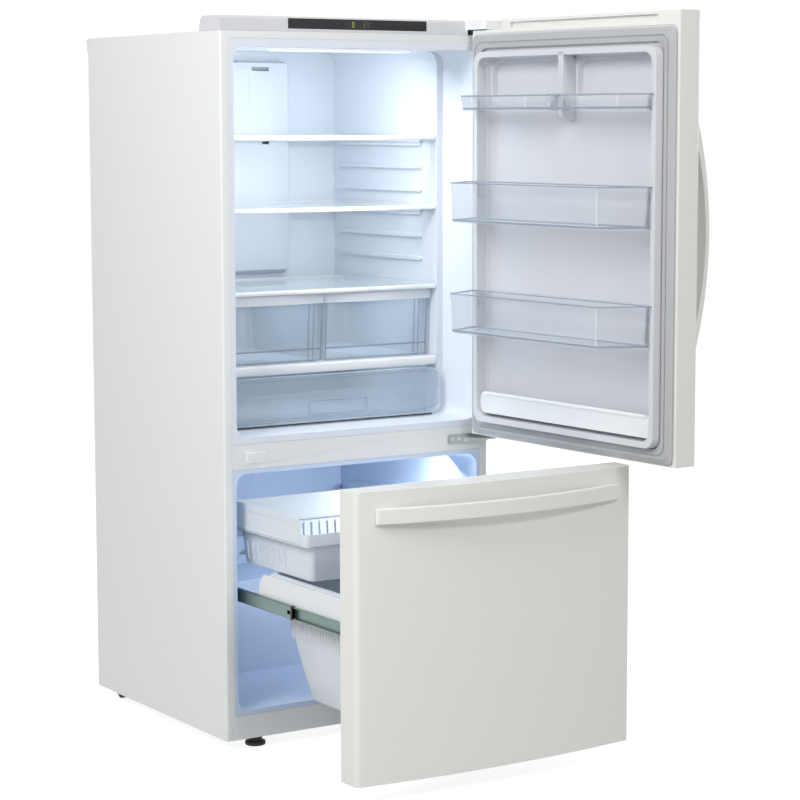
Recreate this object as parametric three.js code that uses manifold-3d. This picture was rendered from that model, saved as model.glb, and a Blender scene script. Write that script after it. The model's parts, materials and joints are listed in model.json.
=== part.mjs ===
// Bottom freezer refrigerator with one hinged door above and one pull-out freezer drawer below.
// Millimetres, +Z up, the front faces -Y. Inside this file x = 0 is the middle of the cabinet,
// y = 0 the plane of its front flange and z = 0 the floor. The last lines move the whole object
// so that its origin lies under the centre of its bounding box.

import * as THREE from 'three';
import { mergeVertices } from 'three/addons/utils/BufferGeometryUtils.js';
import Module from 'manifold-3d';

const wasm = await Module();
wasm.setup();

// ---------------------------------------------------------------- driving dimensions

// cabinet
const cabinetWidth = 756;
const cabinetDepth = 702;
const cabinetBase = 28;
const cabinetTop = 1711;
const sheet = 1.2; // steel sheet of the wrapper
const flangeWidth = 22; // steel flange round the front
const kickHeight = 57.5; // front panel under the freezer opening
const edgeRadius = 5;
const gap = 0.3; // between pieces that seat on each other
const plastic = 2; // moulded liners
const cabinetHalf = cabinetWidth / 2;
const flangeHalf = cabinetHalf - flangeWidth;
const flangeTop = cabinetTop - flangeWidth + 5;
const flangeBottom = cabinetBase + kickHeight;

// fridge compartment, widths are half widths
const fridgeWall = 35;
const ceilingWall = 37;
const fridgeBackWall = 62;
const fridgeHalf = cabinetHalf - fridgeWall;
const fridgeFloor = 757;
const fridgeCeiling = cabinetTop - ceilingWall;
const entryDepth = 143; // wide entry in front of the shelves
const entryStep = 23; // how far the walls step in behind the entry
const shelfZoneHalf = fridgeHalf - entryStep;
const fridgeBack = cabinetDepth - fridgeBackWall;
const cornerRadius = 30;
const mullionHeight = 60;
const mullionTop = fridgeFloor - 16;
const mullionBottom = mullionTop - mullionHeight;

// freezer compartment
const freezerSideWall = 33;
const freezerBackWall = 34;
const freezerHalf = cabinetHalf - freezerSideWall;
const freezerFloor = cabinetBase + 71;
const freezerCeiling = mullionBottom - 11;
const freezerBack = cabinetDepth - freezerBackWall;
const humpDepth = 323;
const humpHeight = 221;
const humpFoot = freezerBack - humpDepth; // where the step over the compressor leaves the floor
const humpTop = freezerFloor + humpHeight;
const humpLean = 82;
const coverPlane = freezerBack - 31; // front of the evaporator cover

// drawers in the fridge
const deliHeight = 117;
const crisperHeight = 171;
const deliTop = fridgeFloor + 6 + deliHeight;
const deliLedgeTop = deliTop + 4;
const deliFront = entryDepth - 21;
const crisperFloor = deliLedgeTop + 23;
const crisperTop = crisperFloor + crisperHeight;
const crisperLedgeTop = crisperTop - 8;
const crisperCoverTop = crisperLedgeTop + 19;
const crisperBack = fridgeBack - 80;
const drawerWall = 2.5;

// shelves
const ribBase = crisperCoverTop + 62;
const ribCount = 6;
const topRibDrop = 230.5; // highest rib below the ceiling
const ribPitch = (fridgeCeiling - topRibDrop - ribBase) / (ribCount - 1);
const ribHeight = 9;
const ribDepth = 7;
const shelfBack = fridgeBack - 40;
const shelfHeight = 17;
const glassThickness = 4;
const middleShelfRib = 2;
const upperShelfRib = 5;

// door and drawer fronts, in their closed place
const frontHalf = cabinetHalf;
const frontInner = -13.3;
const frontEdge = 65;
const frontBow = 22;
const frontCorner = 14;
const skin = 1;
const capRise = 34; // door above the cabinet's top
const doorTop = cabinetTop + capRise;
const doorBottom = mullionTop - 18;
const drawerTop = doorBottom - 17;
const drawerBottom = cabinetBase + 25;
const hingeX = frontHalf - 27.3;
const hingeY = frontInner - 28.9;
const doorOpen = 92.66; // degrees, as stored

// door furniture
const dikeClear = 6; // dike to the fridge's floor and ceiling
const dikeHalf = fridgeHalf - 10;
const dikeHeight = 31.3;
const dikeBottom = fridgeFloor + dikeClear;
const dikeTop = fridgeCeiling - dikeClear;
const linerRecess = 9;
const binWall = 2.4;
const smallBinHeight = 37;
const smallBinReach = 90;
const smallBinFloor = dikeTop - 143;
const lowerBinFloor = dikeBottom + 228;
const upperBinFloor = (lowerBinFloor + smallBinFloor) / 2;
const largeBinHeight = 97;
const largeBinReach = 134;

// handles
const handleWidth = 36;
const handleThickness = 11;
const handleRise = 54;
const drawerHandleHalf = frontHalf - 47;
const drawerHandleZ = drawerTop - 73;
const doorHandleX = -frontHalf + 50;
const doorHandleLow = doorBottom + 244;
const doorHandleHigh = doorTop - 227;

// freezer slides and baskets
const railZ = humpTop + 56;
const fixedFront = 44;
const railLength = freezerBack - 148;
const railHalf = freezerHalf - 9.5;
const fixedRailHeight = 35.4;
const railSheet = 1.7;
const drawerOut = railLength - 13;
const upperBasketRatio = 0.6;
const carrierTop = railZ + 64;
const runnerTop = carrierTop + 89.7;
const lowerBasketFloor = freezerFloor + 59;
const lowerBasketFront = 14;
const lowerBasketBack = humpFoot + 75;
const upperBasketFront = 36; // closed place
const upperBasketBack = lowerBasketBack - 48;
const upperBasketHeight = 149;

// feet, rollers and machine compartment
const footX = cabinetHalf - 100;
const footY = 40;
const rollerX = cabinetHalf - 43;
const rollerY = cabinetDepth - 62;
const rollerRadius = 20;
const rollerWidth = 18;
const panThickness = 1.5;
const machineHalf = cabinetHalf - 22;
const machineTop = humpTop - 58;
const machineFront = humpFoot + 55;
const machineLean = 62;
const machineFloor = cabinetBase + 2 * panThickness;
const machineMiddle = cabinetDepth - 127; // of the compressor and the condenser, in y

// ---------------------------------------------------------------- colours

const paint = (color, roughness, metalness = 0, opacity = 1) =>
  new THREE.MeshStandardMaterial({ color, roughness, metalness, opacity, transparent: opacity < 1 });

const whitePaint = () => paint(0xe4e5e4, 0.45);
const doorPaint = () => paint(0xdfe0d9, 0.4);
const whitePlastic = () => paint(0xe9ecef, 0.5);
const clearPlastic = () => paint(0xd9e6f2, 0.15, 0, 0.4);
const clearGlass = () => paint(0xdcebf0, 0.05, 0, 0.35);
const zinc = () => paint(0xa9b3b0, 0.4, 0.8);
const blackPlastic = () => paint(0x18191b, 0.5);
const grayRubber = () => paint(0xb2b4b6, 0.75);
const foamFill = () => paint(0xe8d9a0, 0.9);

// ---------------------------------------------------------------- shape tools

// closed mesh -> solid
function solidOf(geometry) {
  const bare = new THREE.BufferGeometry();
  bare.setAttribute('position', geometry.getAttribute('position').clone());
  if (geometry.index) bare.setIndex(geometry.index.clone());
  const merged = mergeVertices(bare, 1e-3);
  return new wasm.Manifold(new wasm.Mesh({
    numProp: 3,
    vertProperties: Float32Array.from(merged.getAttribute('position').array),
    triVerts: Uint32Array.from(merged.index.array),
  }));
}

// the plane of an outline: u, v and the extrusion direction as world axes
const basis = {
  z: new THREE.Matrix4().makeBasis(
    new THREE.Vector3(1, 0, 0), new THREE.Vector3(0, 1, 0), new THREE.Vector3(0, 0, 1)),
  x: new THREE.Matrix4().makeBasis(
    new THREE.Vector3(0, 1, 0), new THREE.Vector3(0, 0, 1), new THREE.Vector3(1, 0, 0)),
  y: new THREE.Matrix4().makeBasis(
    new THREE.Vector3(1, 0, 0), new THREE.Vector3(0, 0, 1), new THREE.Vector3(0, -1, 0)),
};

// outline extruded along one axis, from low to high
function extrude(axis, shape, low, high, curveSegments = 2, bevel = 0) {
  const outline = shape instanceof THREE.Shape ? shape : new THREE.Shape(shape);
  const geometry = new THREE.ExtrudeGeometry(outline, {
    depth: high - low - 2 * bevel,
    curveSegments,
    bevelEnabled: bevel > 0,
    bevelThickness: bevel,
    bevelSize: bevel,
    bevelOffset: -bevel,
    bevelSegments: 1,
  });
  geometry.translate(0, 0, bevel);
  geometry.applyMatrix4(basis[axis]);
  const start = { x: [low, 0, 0], y: [0, high, 0], z: [0, 0, low] }[axis];
  geometry.translate(...start);
  return solidOf(geometry);
}

function roundRect(u0, u1, v0, v1, r) {
  const shape = new THREE.Shape();
  shape.moveTo(u0 + r, v0);
  shape.lineTo(u1 - r, v0);
  shape.absarc(u1 - r, v0 + r, r, -Math.PI / 2, 0);
  shape.lineTo(u1, v1 - r);
  shape.absarc(u1 - r, v1 - r, r, 0, Math.PI / 2);
  shape.lineTo(u0 + r, v1);
  shape.absarc(u0 + r, v1 - r, r, Math.PI / 2, Math.PI);
  shape.lineTo(u0, v0 + r);
  shape.absarc(u0 + r, v0 + r, r, Math.PI, 1.5 * Math.PI);
  return shape;
}

function box(x0, x1, y0, y1, z0, z1) {
  const geometry = new THREE.BoxGeometry(x1 - x0, y1 - y0, z1 - z0);
  geometry.translate((x0 + x1) / 2, (y0 + y1) / 2, (z0 + z1) / 2);
  return solidOf(geometry);
}

// upright cylinder or cone
function post(x, y, z0, z1, radius, topRadius = radius, sides = 10) {
  const geometry = new THREE.CylinderGeometry(topRadius, radius, z1 - z0, sides);
  geometry.rotateX(Math.PI / 2);
  geometry.translate(x, y, (z0 + z1) / 2);
  return solidOf(geometry);
}

// rod along x or y
function rod(axis, u, v, low, high, radius, sides = 10) {
  const geometry = new THREE.CylinderGeometry(radius, radius, high - low, sides);
  if (axis === 'x') {
    geometry.rotateZ(Math.PI / 2);
    geometry.translate((low + high) / 2, u, v);
  } else {
    geometry.translate(u, (low + high) / 2, v);
  }
  return solidOf(geometry);
}

// ring of points in a plane across one axis
function ringOf(axis, at, points) {
  return points.map((p) => new THREE.Vector3(p.x, p.y, at).applyMatrix4(
    axis === 'y' ? new THREE.Matrix4().makeBasis(
      new THREE.Vector3(1, 0, 0), new THREE.Vector3(0, 0, 1), new THREE.Vector3(0, 1, 0)) : basis[axis]));
}

// solid through convex rings with the same number of points
function loft(rings) {
  const count = rings[0].length;
  const last = (rings.length - 1) * count;
  const points = rings.flat();
  const faces = [];
  for (let k = 0; k + 1 < rings.length; k++) {
    for (let i = 0; i < count; i++) {
      const a = k * count + i;
      const b = k * count + (i + 1) % count;
      faces.push([a, b, b + count], [a, b + count, a + count]);
    }
  }
  for (let i = 1; i + 1 < count; i++) faces.push([0, i + 1, i], [last, last + i, last + i + 1]);
  let volume = 0;
  for (const [a, b, c] of faces) {
    volume += points[a].dot(new THREE.Vector3().crossVectors(points[b], points[c]));
  }
  const geometry = new THREE.BufferGeometry().setFromPoints(points);
  geometry.setIndex(faces.flatMap((f) => (volume > 0 ? f : [f[0], f[2], f[1]])));
  return solidOf(geometry);
}

// corner-rounded rectangle as points, for lofts
function rectPoints(u0, u1, v0, v1, r, segments = 3) {
  const points = [];
  const corners = [[u1 - r, v0 + r, -1], [u1 - r, v1 - r, 0], [u0 + r, v1 - r, 1], [u0 + r, v0 + r, 2]];
  for (const [cu, cv, quarter] of corners) {
    for (let i = 0; i <= segments; i++) {
      const angle = (quarter + i / segments) * Math.PI / 2;
      points.push(new THREE.Vector2(cu + r * Math.cos(angle), cv + r * Math.sin(angle)));
    }
  }
  return points;
}

// block between two rounded rectangles [u0, u1, v0, v1, r]
function taper(axis, low, lowRect, high, highRect) {
  return loft([ringOf(axis, low, rectPoints(...lowRect)), ringOf(axis, high, rectPoints(...highRect))]);
}

// polygon moved inward by a distance, its corners listed counter-clockwise
function insetPolygon(points, distance) {
  const count = points.length;
  const line = (i) => {
    const [ax, ay] = points[i];
    const [bx, by] = points[(i + 1) % count];
    const length = Math.hypot(bx - ax, by - ay);
    const nx = -(by - ay) / length;
    const ny = (bx - ax) / length;
    return [nx, ny, nx * ax + ny * ay + distance];
  };
  return points.map((_, i) => {
    const [a, b, c] = line((i + count - 1) % count);
    const [d, e, f] = line(i);
    const det = a * e - b * d;
    return [(c * e - b * f) / det, (a * f - c * d) / det];
  });
}

// polygon with every corner rounded, as points
function roundPolygon(points, radius, segments = 2) {
  const result = [];
  const count = points.length;
  points.forEach((corner, i) => {
    const here = new THREE.Vector2(...corner);
    const before = new THREE.Vector2(...points[(i + count - 1) % count]).sub(here).normalize();
    const after = new THREE.Vector2(...points[(i + 1) % count]).sub(here).normalize();
    const half = Math.acos(before.dot(after)) / 2;
    const reach = radius / Math.tan(half);
    const curve = new THREE.QuadraticBezierCurve(
      here.clone().addScaledVector(before, reach), here, here.clone().addScaledVector(after, reach));
    result.push(...curve.getPoints(segments));
  });
  return result;
}

const join = (...solids) => solids.reduce((a, b) => a.add(b));
const cut = (solid, ...tools) => tools.reduce((a, b) => a.subtract(b), solid);

function meshOf(name, solid, material) {
  const { vertProperties, triVerts } = solid.getMesh();
  const geometry = new THREE.BufferGeometry();
  geometry.setAttribute('position', new THREE.BufferAttribute(Float32Array.from(vertProperties), 3));
  geometry.setIndex(new THREE.BufferAttribute(Uint32Array.from(triVerts), 1));
  const mesh = new THREE.Mesh(geometry, material);
  mesh.name = name;
  return mesh;
}

// ---------------------------------------------------------------- cabinet

const far = 2000;

function cabinetOutline(inset, back) {
  const r = edgeRadius - inset;
  return roundRect(-cabinetHalf + inset, cabinetHalf - inset, inset, back, Math.max(r, 0.6));
}

function cabinetShell() {
  const rearHem = 12;
  const ledgeHeight = 37;
  const ledgeReach = 6;
  const body = extrude('z', cabinetOutline(0, cabinetDepth), cabinetBase, cabinetTop);
  const hollow = extrude('z', cabinetOutline(sheet, cabinetDepth - sheet), cabinetBase - 1, cabinetTop - sheet);
  const front = extrude('y', roundRect(-flangeHalf, flangeHalf, flangeBottom, flangeTop, 2), -1, sheet + 1, 1);
  const back = box(-cabinetHalf + rearHem, cabinetHalf - rearHem,
    cabinetDepth - sheet - 1, cabinetDepth + 1, cabinetBase - 1, cabinetTop - rearHem);
  const ledge = extrude('x', [
    [0, 0], [ledgeReach, 3], [ledgeReach, ledgeHeight - 3], [ledgeReach - 3, ledgeHeight], [-rearHem, ledgeHeight],
    [-rearHem, ledgeHeight - sheet], [0, ledgeHeight - sheet],
  ].map(([y, z]) => new THREE.Vector2(cabinetDepth + y, cabinetTop - ledgeHeight + z)),
  -cabinetHalf + 1, cabinetHalf - 1);
  return join(cut(body, hollow, front, back), ledge);
}

// the air space of the fridge, moved outward by grow for the liner's back and the foam
function fridgeSpace(grow) {
  const g = grow;
  const rise = 8;
  const entry = taper('y', -1, [-fridgeHalf - g, fridgeHalf + g, fridgeFloor - g, fridgeCeiling + g, cornerRadius + g],
    entryDepth + g, [-fridgeHalf + 4 - g, fridgeHalf - 4 + g, fridgeFloor - g, fridgeCeiling + g, cornerRadius + g]);
  const zone = (z) => [-shelfZoneHalf - g, shelfZoneHalf + g, fridgeFloor - g, z + g, cornerRadius + g];
  const shelfZone = taper('y', entryDepth - 1, zone(fridgeCeiling), fridgeBack + g, zone(fridgeCeiling + rise));
  return join(entry, shelfZone);
}

function humpOutline(grow) {
  const slope = grow * Math.hypot(humpLean, humpTop - freezerFloor) / (humpTop - freezerFloor);
  const lean = humpLean / (humpTop - freezerFloor);
  const low = freezerFloor - 60;
  return [
    [humpFoot + slope - lean * (freezerFloor - low), low],
    [freezerBack + 90, low],
    [freezerBack + 90, humpTop - grow],
    [humpFoot + slope + lean * (humpTop - grow - freezerFloor), humpTop - grow],
  ].map(([y, z]) => new THREE.Vector2(y, z));
}

// the moulded runner that carries the upper basket on one side
const runnerReach = freezerHalf - 42;
const runnerHeight = 18;
const runnerFront = 45;
const runnerBack = freezerBack - 108;

function basketRunner(side, grow) {
  const inner = side * (runnerReach + grow);
  const outer = side * (freezerHalf + 40);
  return box(Math.min(inner, outer), Math.max(inner, outer), runnerFront + grow, runnerBack - grow,
    runnerTop - runnerHeight + grow, runnerTop - grow);
}

const freezerDraft = 8;
const freezerWall = (y) => freezerHalf - freezerDraft * (y + 1) / (freezerBack + 1);

function freezerSpace(grow) {
  const g = grow;
  const draft = freezerDraft;
  const space = taper('y', -1, [-freezerHalf - g, freezerHalf + g, freezerFloor - g, freezerCeiling + g, cornerRadius + g],
    freezerBack + g,
    [-freezerHalf + draft - g, freezerHalf - draft + g, freezerFloor - g, freezerCeiling - 6 + g, cornerRadius + g]);
  return cut(space, extrude('x', humpOutline(grow), -far, far), basketRunner(-1, grow), basketRunner(1, grow));
}

const ledgeReach = 9;

function fridgeLiner() {
  const lip = extrude('y', roundRect(-flangeHalf + gap, flangeHalf - gap, mullionTop + gap, flangeTop - gap, 2), 0, plastic, 1);
  const body = join(lip, cut(fridgeSpace(plastic), box(-far, far, -far, gap, 0, far)));
  const ribs = [];
  for (const side of [-1, 1]) {
    const wall = side * (shelfZoneHalf + 1);
    const reach = (depth) => side * (shelfZoneHalf - depth);
    const span = (a, b) => [Math.min(a, b), Math.max(a, b)];
    for (let i = 0; i < ribCount; i++) {
      const z = ribBase + i * ribPitch;
      ribs.push(extrude('x', roundRect(208, shelfBack + 3, z - ribHeight / 2, z + ribHeight / 2, 3), ...span(wall, reach(ribDepth)), 1));
    }
    for (const top of [deliLedgeTop, crisperLedgeTop]) {
      ribs.push(extrude('x', roundRect(176, crisperBack + 30, top - 10, top, 4), ...span(wall, reach(ledgeReach)), 1));
    }
  }
  return join(cut(body, fridgeSpace(0)), ...ribs);
}

function freezerLiner() {
  const lip = extrude('y', roundRect(-flangeHalf + gap, flangeHalf - gap, flangeBottom + gap, mullionBottom - gap, 2),
    0, plastic);
  const body = join(lip, cut(freezerSpace(plastic), box(-far, far, -far, gap, 0, far)));
  return cut(body, freezerSpace(0));
}

// machine compartment behind and under the step
const foamBase = cabinetBase + panThickness + 2;

function cabinetFoam() {
  const back = cabinetDepth - 3;
  const block = extrude('z', roundRect(-cabinetHalf + sheet + gap, cabinetHalf - sheet - gap, plastic + 0.6, back, 3),
    foamBase, cabinetTop - sheet - gap);
  const machine = extrude('x', [
    [machineFront, foamBase - 2], [back + 2, foamBase - 2], [back + 2, machineTop], [machineFront + machineLean, machineTop],
  ].map(([y, z]) => new THREE.Vector2(y, z)), -machineHalf, machineHalf);
  return cut(block, fridgeSpace(plastic + gap), freezerSpace(plastic + gap), machine);
}

function rearPanel() {
  const y = cabinetDepth - sheet - gap;
  const edge = cabinetHalf - edgeRadius;
  const panel = box(-edge, edge, y - sheet, y, machineTop + 2, cabinetTop - sheet - gap);
  const beads = [-1, 0, 1].map((side) => side * (cabinetHalf - 158)).map((x) =>
    extrude('x', roundRect(y - sheet / 2, y + 4, machineTop + 158, cabinetTop - 151, 1.2), x - 12, x + 12, 1));
  return join(panel, ...beads);
}

function compressorCover() {
  const y = cabinetDepth - sheet - gap;
  const half = machineHalf + 8;
  const low = cabinetBase + panThickness + 3;
  const high = machineTop + 1.5;
  const plate = extrude('y', roundRect(-half, half, low, high, 6), y - sheet, y);
  const slots = [];
  for (const x0 of [-machineHalf + 26, machineHalf - 286]) {
    for (let i = 0; i < 5; i++) {
      const x = x0 + i * 56;
      slots.push(extrude('y', roundRect(x, x + 26, low + 57.5, high - 53.5, 8), y - 4, y + 4, 1));
    }
  }
  return cut(plate, ...slots);
}

function baseFrame() {
  const z0 = cabinetBase + panThickness;
  const z1 = z0 + panThickness;
  const edge = cabinetHalf - sheet - gap;
  const pan = extrude('z', roundRect(-edge, edge, sheet + gap, cabinetDepth - 3 * sheet, 3), z0, z1, 1);
  const wells = [];
  const ears = [];
  const axleClear = axleRadius + gap;
  for (const side of [-1, 1]) {
    const x = side * rollerX;
    const half = rollerWidth / 2 + 2;
    wells.push(box(x - half, x + half, rollerY - 26, rollerY + 26, z0 - 1, z1 + 1));
    wells.push(rod('x', rollerY, rollerRadius, x - half - 8, x + half + 8, axleClear, 16));
    for (const face of [-1, 1]) {
      const inner = x + face * half;
      const outer = inner + face * 3;
      ears.push(extrude('x', [
        new THREE.Vector2(rollerY - 24, z1), new THREE.Vector2(rollerY - 10, rollerRadius - 9),
        new THREE.Vector2(rollerY + 10, rollerRadius - 9), new THREE.Vector2(rollerY + 24, z1),
      ], Math.min(inner, outer), Math.max(inner, outer)));
    }
    ears.push(post(side * footX, footY, z0, z1, 16));
    wells.push(post(side * footX, footY, z0 - 1, z1 + 1, stemRadius + gap));
  }
  return cut(join(pan, ...ears), ...wells);
}

const stemRadius = 5;
const axleRadius = 4;

// levelling foot, turned about its stem; drawn at its own origin
function foot() {
  const profile = [
    [0, 0], [23, 0], [25, 3], [25, 9], [17, 13], [17, cabinetBase + panThickness - gap],
    [stemRadius, cabinetBase + panThickness - gap], [stemRadius, 31.2], [0, 31.2],
  ].map(([r, z]) => new THREE.Vector2(r, z));
  const geometry = new THREE.LatheGeometry(profile, 12);
  geometry.rotateX(Math.PI / 2);
  return solidOf(geometry);
}

// roller with its axle, drawn along z at its own origin
function roller() {
  const half = rollerWidth / 2;
  const reach = half + 4;
  const profile = [
    [0, -reach], [axleRadius, -reach], [axleRadius, -half], [rollerRadius, -half], [rollerRadius, half],
    [axleRadius, half], [axleRadius, reach], [0, reach],
  ].map(([r, z]) => new THREE.Vector2(r, z));
  const geometry = new THREE.LatheGeometry(profile, 16);
  geometry.rotateX(Math.PI / 2);
  return solidOf(geometry);
}

function mullionCover() {
  const z0 = mullionBottom + gap;
  const z1 = mullionTop - gap;
  const plate = box(-flangeHalf + gap, flangeHalf - gap, 0, plastic + gap, z0, z1);
  const pad = extrude('y', roundRect(-flangeHalf + 38, -flangeHalf + 94, z0 + 13.7, z0 + 37.7, 2), -1.5, 1, 1);
  return join(plate, pad);
}

const housingTop = cabinetTop + 35;
const housingDepth = 102;
const housingSplit = cabinetHalf - 69;
const displayHalf = 195;
const displayLow = cabinetTop + 7;
const displayHigh = housingTop - 4;
const displayThickness = 2.6;

function housingProfile(inset) {
  const z = housingTop - inset;
  return [
    [inset, cabinetTop + (inset ? -1 : gap)], [housingDepth - inset, cabinetTop + (inset ? -1 : gap)],
    [housingDepth - 8 - inset / 2, z - 6], [housingDepth - 20, z], [6 + inset / 2, z], [inset, z - 6],
  ].map(([y, h]) => new THREE.Vector2(y, h));
}

function controlHousing() {
  const wall = 3;
  const body = extrude('x', housingProfile(0), -cabinetHalf, housingSplit);
  const hollow = extrude('x', housingProfile(wall + 2), -cabinetHalf + wall, housingSplit - wall);
  const window = box(-displayHalf - gap, displayHalf + gap, -1, displayThickness, displayLow - gap, displayHigh + gap);
  return cut(body, hollow, window);
}

function displayWindow() {
  return extrude('y', roundRect(-displayHalf, displayHalf, displayLow, displayHigh, 2), -gap, displayThickness - gap, 1);
}

// top hinge: plate on the cabinet, step, arm over the door and pin down into it
const pocketFloor = doorTop - 23;
const pocketLength = 116;
const armLow = pocketFloor + 4.5;
const armThickness = 4;
const pinRadius = 4;
const bossRadius = 8;

function topHingeBracket() {
  const plate = cabinetTop + gap;
  const arm = extrude('x', [
    [96, plate], [96, plate + armThickness], [26, plate + armThickness], [12, armLow + armThickness],
    [hingeY - 6, armLow + armThickness], [hingeY - 6, armLow], [9.5, armLow], [23, plate],
  ].map(([y, z]) => new THREE.Vector2(y, z)), hingeX - 16, hingeX + 16);
  const nose = post(hingeX, hingeY - 6, armLow, armLow + armThickness, 16, 16, 24);
  const boss = post(hingeX, hingeY, pocketFloor + gap, armLow + 1, bossRadius);
  const pin = post(hingeX, hingeY, pocketFloor - 20, armLow + 1, pinRadius);
  const screws = [45, 80].map((y) => post(hingeX, y, plate + 1, plate + armThickness + 3, 6, 5, 6));
  return join(arm, nose, boss, pin, ...screws);
}

function hingeCover() {
  const left = housingSplit + gap;
  const right = cabinetHalf;
  const hoodFront = hingeY - 30;
  const wall = 2.5;
  const rear = extrude('x', housingProfile(0), left, right);
  const rearHollow = extrude('x', housingProfile(wall + 1), left + wall, right - wall);
  const hood = extrude('z', roundRect(left + 6, right, hoodFront, 20, 8), pocketFloor + 1.5, housingTop - 1);
  const hoodHollow = extrude('z', roundRect(left + 6 + wall, right - wall, hoodFront + wall, 16, 6),
    cabinetTop - 1, housingTop - 1 - wall);
  return cut(join(rear, hood), rearHollow, hoodHollow);
}

// centre hinge: plate on the mullion, arm between door and drawer, pin up into the door
const centreArmLow = doorBottom - 12;

function centreHingeBracket() {
  const edge = frontHalf - 1;
  const plate = extrude('y', roundRect(edge - 119, edge, doorBottom - 24, doorBottom - 1.5, 3), -3 - gap, -gap, 1);
  const arm = extrude('z', [
    [edge - 55, -gap], [edge, -gap], [edge, hingeY], [hingeX + 10, hingeY - 16], [hingeX - 10, hingeY - 16], [hingeX - 20, hingeY],
  ].map(([x, y]) => new THREE.Vector2(x, y)), centreArmLow, centreArmLow + armThickness);
  const boss = post(hingeX, hingeY, centreArmLow + 1, doorBottom - gap, bossRadius);
  const pin = post(hingeX, hingeY, centreArmLow + 1, doorBottom + 20, pinRadius);
  const screws = [67, 87, 107].map((x) => rod('y', edge - x, centreArmLow, -5.5, -1, 4.5, 6));
  return join(plate, arm, boss, pin, ...screws);
}

function lightLens() {
  return extrude('z', roundRect(-190, 190, 48, 112, 12), fridgeCeiling - 6, fridgeCeiling - gap, 2);
}

// air duct panel on the back wall of the fridge with two rows of outlets
function ductPanel() {
  const half = 168;
  const low = crisperCoverTop + 9;
  const high = fridgeCeiling - 16;
  const front = fridgeBack - 26;
  const body = loft([
    ringOf('y', front, rectPoints(-half + 22, half - 22, low + 12, high - 18, 26)),
    ringOf('y', front + 8, rectPoints(-half + 8, half - 8, low + 4, high - 6, 30)),
    ringOf('y', fridgeBack - gap, rectPoints(-half, half, low, high, 34)),
  ]);
  const hollow = taper('y', front + 3, [-half + 26, half - 26, low + 18, high - 24, 22],
    fridgeBack + 1, [-half + 6, half - 6, low + 8, high - 8, 28]);
  const outlets = [];
  for (const z of [low + 142, low + 302, high - 58]) {
    for (let i = 0; i < 4; i++) {
      outlets.push(box(-122 + i * 66, -76 + i * 66, front - 5, front + 9, z, z + 9));
    }
  }
  return cut(body, hollow, ...outlets);
}

// evaporator cover with the fan's opening, its three arms and the motor hub
const fanZ = freezerCeiling - 95;
const fanOpening = 54;
const shaftRadius = 2.5;

function fanMount(axisU, axisV, opening, hub, face, thickness, shaft) {
  const hubBody = rod('y', axisU, axisV, face, face + thickness + 3, hub, 20);
  const spindle = rod('y', axisU, axisV, face + thickness, face + thickness + shaft, shaftRadius, 10);
  const arms = [90, 210, 330].map((degrees) => {
    const angle = degrees * Math.PI / 180;
    const across = new THREE.Vector2(-Math.sin(angle), Math.cos(angle)).multiplyScalar(4);
    const along = new THREE.Vector2(Math.cos(angle), Math.sin(angle));
    const at = (r, s) => new THREE.Vector2(axisU, axisV).addScaledVector(along, r).addScaledVector(across, s);
    return extrude('y', [at(hub - 4, -1), at(opening + 3, -1), at(opening + 3, 1), at(hub - 4, 1)], face, face + thickness);
  });
  return join(hubBody, spindle, ...arms);
}

function evaporatorCover() {
  const half = freezerWall(coverPlane + 2.5) - 0.84;
  const plate = extrude('y', roundRect(-half, half, humpTop + gap, freezerCeiling - 9, 34), coverPlane, coverPlane + 2.5);
  const vents = [];
  const count = 8;
  const first = -half + 46.5;
  const pitch = (2 * half - 141) / (count - 1);
  for (let i = 0; i < count; i++) {
    const x = first + i * pitch;
    vents.push(box(x, x + 48, coverPlane - 2, coverPlane + 5, humpTop + 25, humpTop + 37));
  }
  const opening = rod('y', 0, fanZ, coverPlane - 2, coverPlane + 5, fanOpening, 24);
  return join(cut(plate, opening, ...vents), fanMount(0, fanZ, fanOpening, 17, coverPlane, 2.5, 19));
}

// axial fan about z, its bore open for the spindle
function fan(tip, hub, depth, blades) {
  const parts = [post(0, 0, 0, depth, hub, hub, 20)];
  for (let i = 0; i < blades; i++) {
    const turn = new THREE.Matrix4().makeRotationZ(i * 2 * Math.PI / blades);
    const rings = [hub - 2, (hub + tip) / 2, tip].map((radius, k) => {
      const pitch = (50 - 12 * k) * Math.PI / 180;
      const chord = (0.55 + 0.18 * k) * hub;
      const cos = Math.cos(pitch) * chord;
      const sin = Math.min(Math.sin(pitch) * chord, depth / 2 - 1.5);
      return [[-cos, -sin - 1], [cos, sin - 1], [cos, sin + 1], [-cos, -sin + 1]]
        .map(([s, z]) => new THREE.Vector3(radius, s, depth / 2 + z).applyMatrix4(turn));
    });
    parts.push(loft(rings));
  }
  return cut(join(...parts), post(0, 0, -1, depth + 1, shaftRadius + gap, shaftRadius + gap, 10));
}

// finned block: a comb of fins on both faces of a core plate, with the tube bends at its ends
function finBlock(x0, x1, y0, y1, z0, z1, fins, rows) {
  const middle = (y0 + y1) / 2;
  const pitch = (x1 - x0) / (fins - 1);
  const half = 1.2;
  const comb = [];
  for (let i = 0; i < fins; i++) {
    const x = x0 + i * pitch;
    if (i > 0) comb.push([x - half, middle - 3]);
    comb.push([x - half, y0], [x + half, y0]);
    if (i < fins - 1) comb.push([x + half, middle - 3]);
  }
  const mirrored = comb.map(([x, y]) => [x, 2 * middle - y]).reverse();
  const block = extrude('z', [...comb, ...mirrored].map(([x, y]) => new THREE.Vector2(x, y)), z0, z1);
  const bends = [];
  for (let k = 0; k < rows; k++) {
    const z = z0 + (z1 - z0) * (k + 0.5) / rows;
    for (const [a, b] of [[x0 - 8, x0], [x1, x1 + 8]]) bends.push(rod('x', middle, z, a, b, 4, 6));
  }
  return join(block, ...bends);
}

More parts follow.
